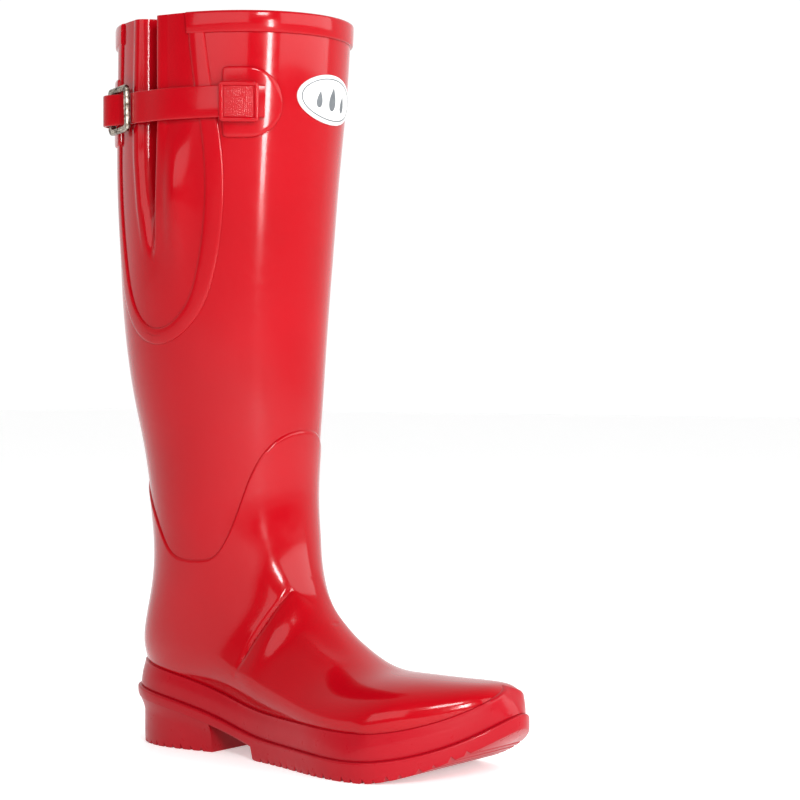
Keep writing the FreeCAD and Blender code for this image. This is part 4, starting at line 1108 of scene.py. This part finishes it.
def build_badge():
    """Domed oval plate, and its print: a thin ring and three raindrops."""
    plate = chart_slab("badge_face", BADGE_CHART, badge_oval(51, 28),
                       [(0, -0.2), (0, 0.55), (0.12, 0.85), (0.4, 1.05), (0.9, 1.1), (2.0, 1.1)])
    outer, inner = badge_oval(46.6, 23.8), badge_oval(45.2, 22.4)
    rings = [BADGE_CHART.spot(*oval.T, height)
             for oval, height in ((outer, 1.0), (outer, 1.16), (inner, 1.16), (inner, 1.0))]
    prints = [tube_mesh("badge_ring", np.stack(rings, axis=1), closed=True)]
    turns = round_turns(40)
    for u, v, tall in ((0, 0.4, 13.5), (-11, -1.0, 9.5), (11, -1.0, 9.5)):
        drop = [u + tall * 0.30 * np.sin(turns) * np.sin(turns / 2), v + tall * 0.5 * np.cos(turns)]
        drop = tilted(round_outline(np.stack(drop, axis=1), 60, 1))
        prints.append(chart_slab("badge_drop", BADGE_CHART, drop, [(0, 0.9), (0, 1.14), (0.15, 1.2)],
                                 fills=(0.6, 0.2)))
    return plate, join("badge_ink", prints)


badge, badge_ink = build_badge()


# ---------------------------------------------------------------- footbed
def build_footbed():
    """Cushioned insole: crowned edge, slightly cupped heel, on the board."""
    outline = inset_curve(edge, 13.2)
    keep_rows = (outline[:, 0] > 20) & (outline[:, 0] < 232)
    ring = round_outline(outline[keep_rows], 220, 4)
    floor = natural_spline(*SECTIONS[11:21, :2].T)
    profile = [(1.0, 0.0), (0.2, 0.8), (0.0, 2.0), (0.2, 3.3), (0.8, 4.2), (1.8, 4.5), (4, 4.3), (8, 4.0),
               (13, 3.9), (17, 3.9)]
    rings = []
    for inset, height in profile:
        flat = inset_curve(ring, inset)
        rings.append(np.column_stack([flat, floor(np.clip(flat[:, 0], 6.2, 240)) + 5.75 + height]))
    return tube_mesh("footbed_pad", rings, smooth_angle=60, slab=True)


footbed = build_footbed()


# ---------------------------------------------------------------- materials
def new_material(name):
    material = bpy.data.materials.new(name)
    material.use_nodes = True
    return material, material.node_tree, material.node_tree.nodes["Principled BSDF"]


def new_node(tree, kind, **values):
    """New shader node with values on its sockets; an underscore stands for a space."""
    made = tree.nodes.new("ShaderNode" + kind)
    for socket, value in values.items():
        made.inputs[socket.replace("_", " ")].default_value = value
    return made


def noise(tree, scale, detail=3.0, rough=0.5):
    """Noise over the object's own metres."""
    texture = new_node(tree, "TexNoise", Scale=scale, Detail=detail, Roughness=rough)
    tree.links.new(new_node(tree, "TexCoord").outputs["Object"], texture.inputs["Vector"])
    return texture.outputs["Fac"]


def ranged(tree, socket, low, high, start=0.3, end=0.7):
    """The socket's values from start to end, spread over low to high."""
    ramp = new_node(tree, "MapRange", From_Min=start, From_Max=end, To_Min=low, To_Max=high)
    tree.links.new(socket, ramp.inputs["Value"])
    return ramp.outputs["Result"]


def coloured(tree, shader, share, first, second):
    """Base colour between two colours."""
    mix = new_node(tree, "Mix")
    mix.data_type = "RGBA"
    tree.links.new(share, mix.inputs["Factor"])
    mix.inputs["A"].default_value = (*first, 1)
    mix.inputs["B"].default_value = (*second, 1)
    tree.links.new(mix.outputs["Result"], shader.inputs["Base Color"])


def roughened(tree, shader, socket, rough):
    tree.links.new(ranged(tree, socket, *rough), shader.inputs["Roughness"])


def bumped(tree, shader, socket, strength, distance):
    bump = new_node(tree, "Bump", Strength=strength, Distance=distance)
    tree.links.new(socket, bump.inputs["Height"])
    tree.links.new(bump.outputs["Normal"], shader.inputs["Normal"])


def rubber_material(name, deep, bright, rough, coat, ripple=0.00025, ripple_scale=38.0):
    """Lacquered rubber: slight colour drift, uneven gloss and the low ripple of a dipped coat."""
    material, tree, shader = new_material(name)
    coloured(tree, shader, ranged(tree, noise(tree, 14.0, 2.0), 0, 1), deep, bright)
    roughened(tree, shader, noise(tree, 160.0, 4.0, 0.6), rough)
    bumped(tree, shader, noise(tree, ripple_scale, 2.0, 0.45), 0.5, ripple)
    shader.inputs["Coat Weight"].default_value = coat
    shader.inputs["Coat Roughness"].default_value = 0.06
    shader.inputs["IOR"].default_value = 1.24
    return material


def metal_material(name, dark, light, rough, scale, bump):
    """Metal with darker patches and worn lighter ones, spread at random by noise."""
    material, tree, shader = new_material(name)
    coloured(tree, shader, ranged(tree, noise(tree, scale, 4.0, 0.6), 0, 1, 0.38, 0.62), dark, light)
    fine = noise(tree, scale * 5, 3.0, 0.7)
    roughened(tree, shader, fine, rough)
    bumped(tree, shader, fine, 0.5, bump)
    shader.inputs["Metallic"].default_value = 1.0
    return material


def knit_material(name, dark, light, pitch):
    """Knitted or woven cloth: two crossing rows of loops."""
    material, tree, shader = new_material(name)
    at = new_node(tree, "TexCoord")
    both = new_node(tree, "Math")
    both.operation = "MULTIPLY"
    for factor, direction in zip(both.inputs, "XZ"):
        wave = new_node(tree, "TexWave", Scale=pitch, Distortion=0.6)
        wave.bands_direction = direction
        tree.links.new(at.outputs["Object"], wave.inputs["Vector"])
        tree.links.new(wave.outputs["Fac"], factor)
    coloured(tree, shader, both.outputs["Value"], dark, light)
    bumped(tree, shader, both.outputs["Value"], 0.6, 0.0004)
    shader.inputs["Roughness"].default_value = 0.85
    shader.inputs["Sheen Weight"].default_value = 0.3
    shader.inputs["Sheen Roughness"].default_value = 0.5
    return material


def moulded_material(name, low, high, rough, scale=220.0, bump=0.0001):
    """Plain material with a fine grain in its colour, gloss and surface."""
    material, tree, shader = new_material(name)
    grain = noise(tree, scale, 3.0, 0.55)
    coloured(tree, shader, ranged(tree, grain, 0, 1), low, high)
    roughened(tree, shader, grain, rough)
    bumped(tree, shader, grain, 0.3, bump)
    return material


MATERIALS = {
    "red_rubber": rubber_material("red_lacquer", (0.33, 0.0009, 0.0045), (0.37, 0.0012, 0.006), (0.12, 0.19),
                                  0.2),
    "sole_rubber": rubber_material("red_sole", (0.31, 0.0018, 0.007), (0.36, 0.003, 0.010), (0.26, 0.36), 0.1,
                                   ripple=0.0002, ripple_scale=120.0),
    "antique_metal": metal_material("antique_casting", (0.07, 0.05, 0.035), (0.52, 0.47, 0.40), (0.22, 0.42),
                                    420.0, 0.0002),
    "pin_steel": metal_material("drawn_wire", (0.36, 0.35, 0.34), (0.52, 0.52, 0.52), (0.25, 0.35),
                                700.0, 0.00005),
    "shank_steel": metal_material("spring_steel", (0.22, 0.23, 0.25), (0.42, 0.43, 0.45), (0.3, 0.45),
                                  260.0, 0.0001),
    "badge_white": moulded_material("badge_lacquer", (0.66, 0.66, 0.65), (0.71, 0.71, 0.70), (0.16, 0.26)),
    "badge_grey": moulded_material("badge_print", (0.09, 0.10, 0.11), (0.13, 0.14, 0.15), (0.35, 0.5)),
    "lining_knit": knit_material("lining_loops", (0.035, 0.033, 0.034), (0.16, 0.15, 0.15), 300.0),
    "footbed_cloth": knit_material("footbed_weave", (0.04, 0.04, 0.045), (0.14, 0.14, 0.15), 420.0),
    "fibre_board": moulded_material("lasting_board", (0.33, 0.23, 0.13), (0.46, 0.34, 0.21), (0.7, 0.85),
                                    500.0, 0.0003),
    "stiffener": moulded_material("stiffener_sheet", (0.35, 0.34, 0.31), (0.48, 0.46, 0.43), (0.55, 0.7),
                                  300.0),
    "filler_foam": moulded_material("filler_cells", (0.30, 0.05, 0.05), (0.42, 0.09, 0.08), (0.75, 0.9),
                                    700.0, 0.0004),
}

# ---------------------------------------------------------------- which piece stands for which CAD node
PIECES = [
    (leg_shell, "boot", "leg_shell", "red_rubber"), (lining, "boot", "textile_lining", "lining_knit"),
    (gusset, "boot", "gusset_panel", "red_rubber"), (trim, "boot", "gusset_trim", "red_rubber"),
    (overlay, "boot", "foot_overlay", "red_rubber"), (foxing, "boot", "foxing_band", "sole_rubber"),
    (outsole, "boot", "outsole", "sole_rubber"), (heel, "boot", "heel_block", "sole_rubber"),
    (binding, "boot", "top_binding", "red_rubber"), (front_patch, "boot", "strap_anchor_patch", "red_rubber"),
    (rear_patch, "boot", "buckle_patch", "red_rubber"), (strap, "boot", "strap", "red_rubber"),
    (loop, "boot", "strap_anchor_loop", "red_rubber"), (chape, "boot", "buckle_chape", "red_rubber"),
    (buckle, "buckle", "buckle_frame", "antique_metal"), (keeper, "keeper", "tail_keeper", "red_rubber"),
    (badge, "boot", "badge_plate", "badge_white"), (badge_ink, "boot", "badge_print", "badge_grey"),
    (footbed, "boot", "cushion_insole", "footbed_cloth"),
]
CARRIED = {"shank": "shank_steel", "bottom_filler": "filler_foam", "insole_board": "fibre_board",
           "toe_puff": "stiffener", "heel_counter": "stiffener", "buckle_pin": "pin_steel"}
for piece, body, node, slot in PIECES:
    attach(piece, body)
    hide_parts(node)
    piece.data.materials.append(MATERIALS[slot])
for node, slot in CARRIED.items():
    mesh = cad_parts[node].data
    mesh.materials.clear()
    mesh.materials.append(MATERIALS[slot])


# ---------------------------------------------------------------- floor and light
LEG_X = -0.06
AWAY_FROM_CAMERA = (-0.59, 0.81, 0.0)


def stage_floor():
    """Level pale floor that glows a little, so that it fades into the white behind it."""
    mesh = bpy.data.meshes.new("floor")
    size = 9.0
    corners = [(-size, -size, 0), (size, -size, 0), (size, size, 0), (-size, size, 0)]
    mesh.from_pydata(corners, [], [(0, 1, 2, 3)])
    pale = moulded_material("studio_floor", (0.90, 0.90, 0.90), (0.92, 0.92, 0.92), (0.6, 0.7), 8.0, 0.0)
    shader = pale.node_tree.nodes["Principled BSDF"]
    shader.inputs["Emission Color"].default_value = (1, 1, 1, 1)
    shader.inputs["Emission Strength"].default_value = 0.38
    mesh.materials.append(pale)
    add("floor", mesh)


def area_light(name, azimuth, distance, height, width, tall, radiance, aim):
    """Soft rectangle round the leg, at an azimuth of 0 towards the toe and -90 to the outer side."""
    light = bpy.data.lights.new(name, "AREA")
    light.shape = "RECTANGLE"
    light.size, light.size_y = width, tall
    light.energy = radiance * math.pi * width * tall
    turn = math.radians(azimuth)
    at = Vector((LEG_X + distance * math.cos(turn), distance * math.sin(turn), height))
    lamp = add(name, light)
    lamp.location = at
    lamp.rotation_euler = (Vector((LEG_X, 0, aim)) - at).to_track_quat("-Z", "Y").to_euler()


def white_surroundings():
    """White behind the boot, falling to grey on the camera's side."""
    world = bpy.data.worlds.new("world")
    bpy.context.scene.world = world
    world.use_nodes = True
    tree = world.node_tree
    facing = new_node(tree, "VectorMath")
    facing.operation = "DOT_PRODUCT"
    facing.inputs[1].default_value = AWAY_FROM_CAMERA
    tree.links.new(new_node(tree, "TexCoord").outputs["Generated"], facing.inputs[0])
    background = tree.nodes["Background"]
    background.inputs["Color"].default_value = (1, 1, 1, 1)
    tree.links.new(ranged(tree, facing.outputs["Value"], 0.14, 1.05, -0.50, 0.50),
                   background.inputs["Strength"])


stage_floor()
white_surroundings()
bpy.context.scene.view_settings.view_transform = "Standard"
area_light("front_softbox", 14, 2.0, 1.02, 2.7, 1.2, 4.0, aim=0.9)
area_light("near_softbox", -76, 2.2, 1.05, 2.0, 1.2, 2.6, aim=0.9)
area_light("streak", -30.5, 1.5, 0.40, 0.12, 0.34, 60.0, aim=0.40)
area_light("window", -38, 1.5, 0.95, 0.26, 0.26, 40.0, aim=0.1)
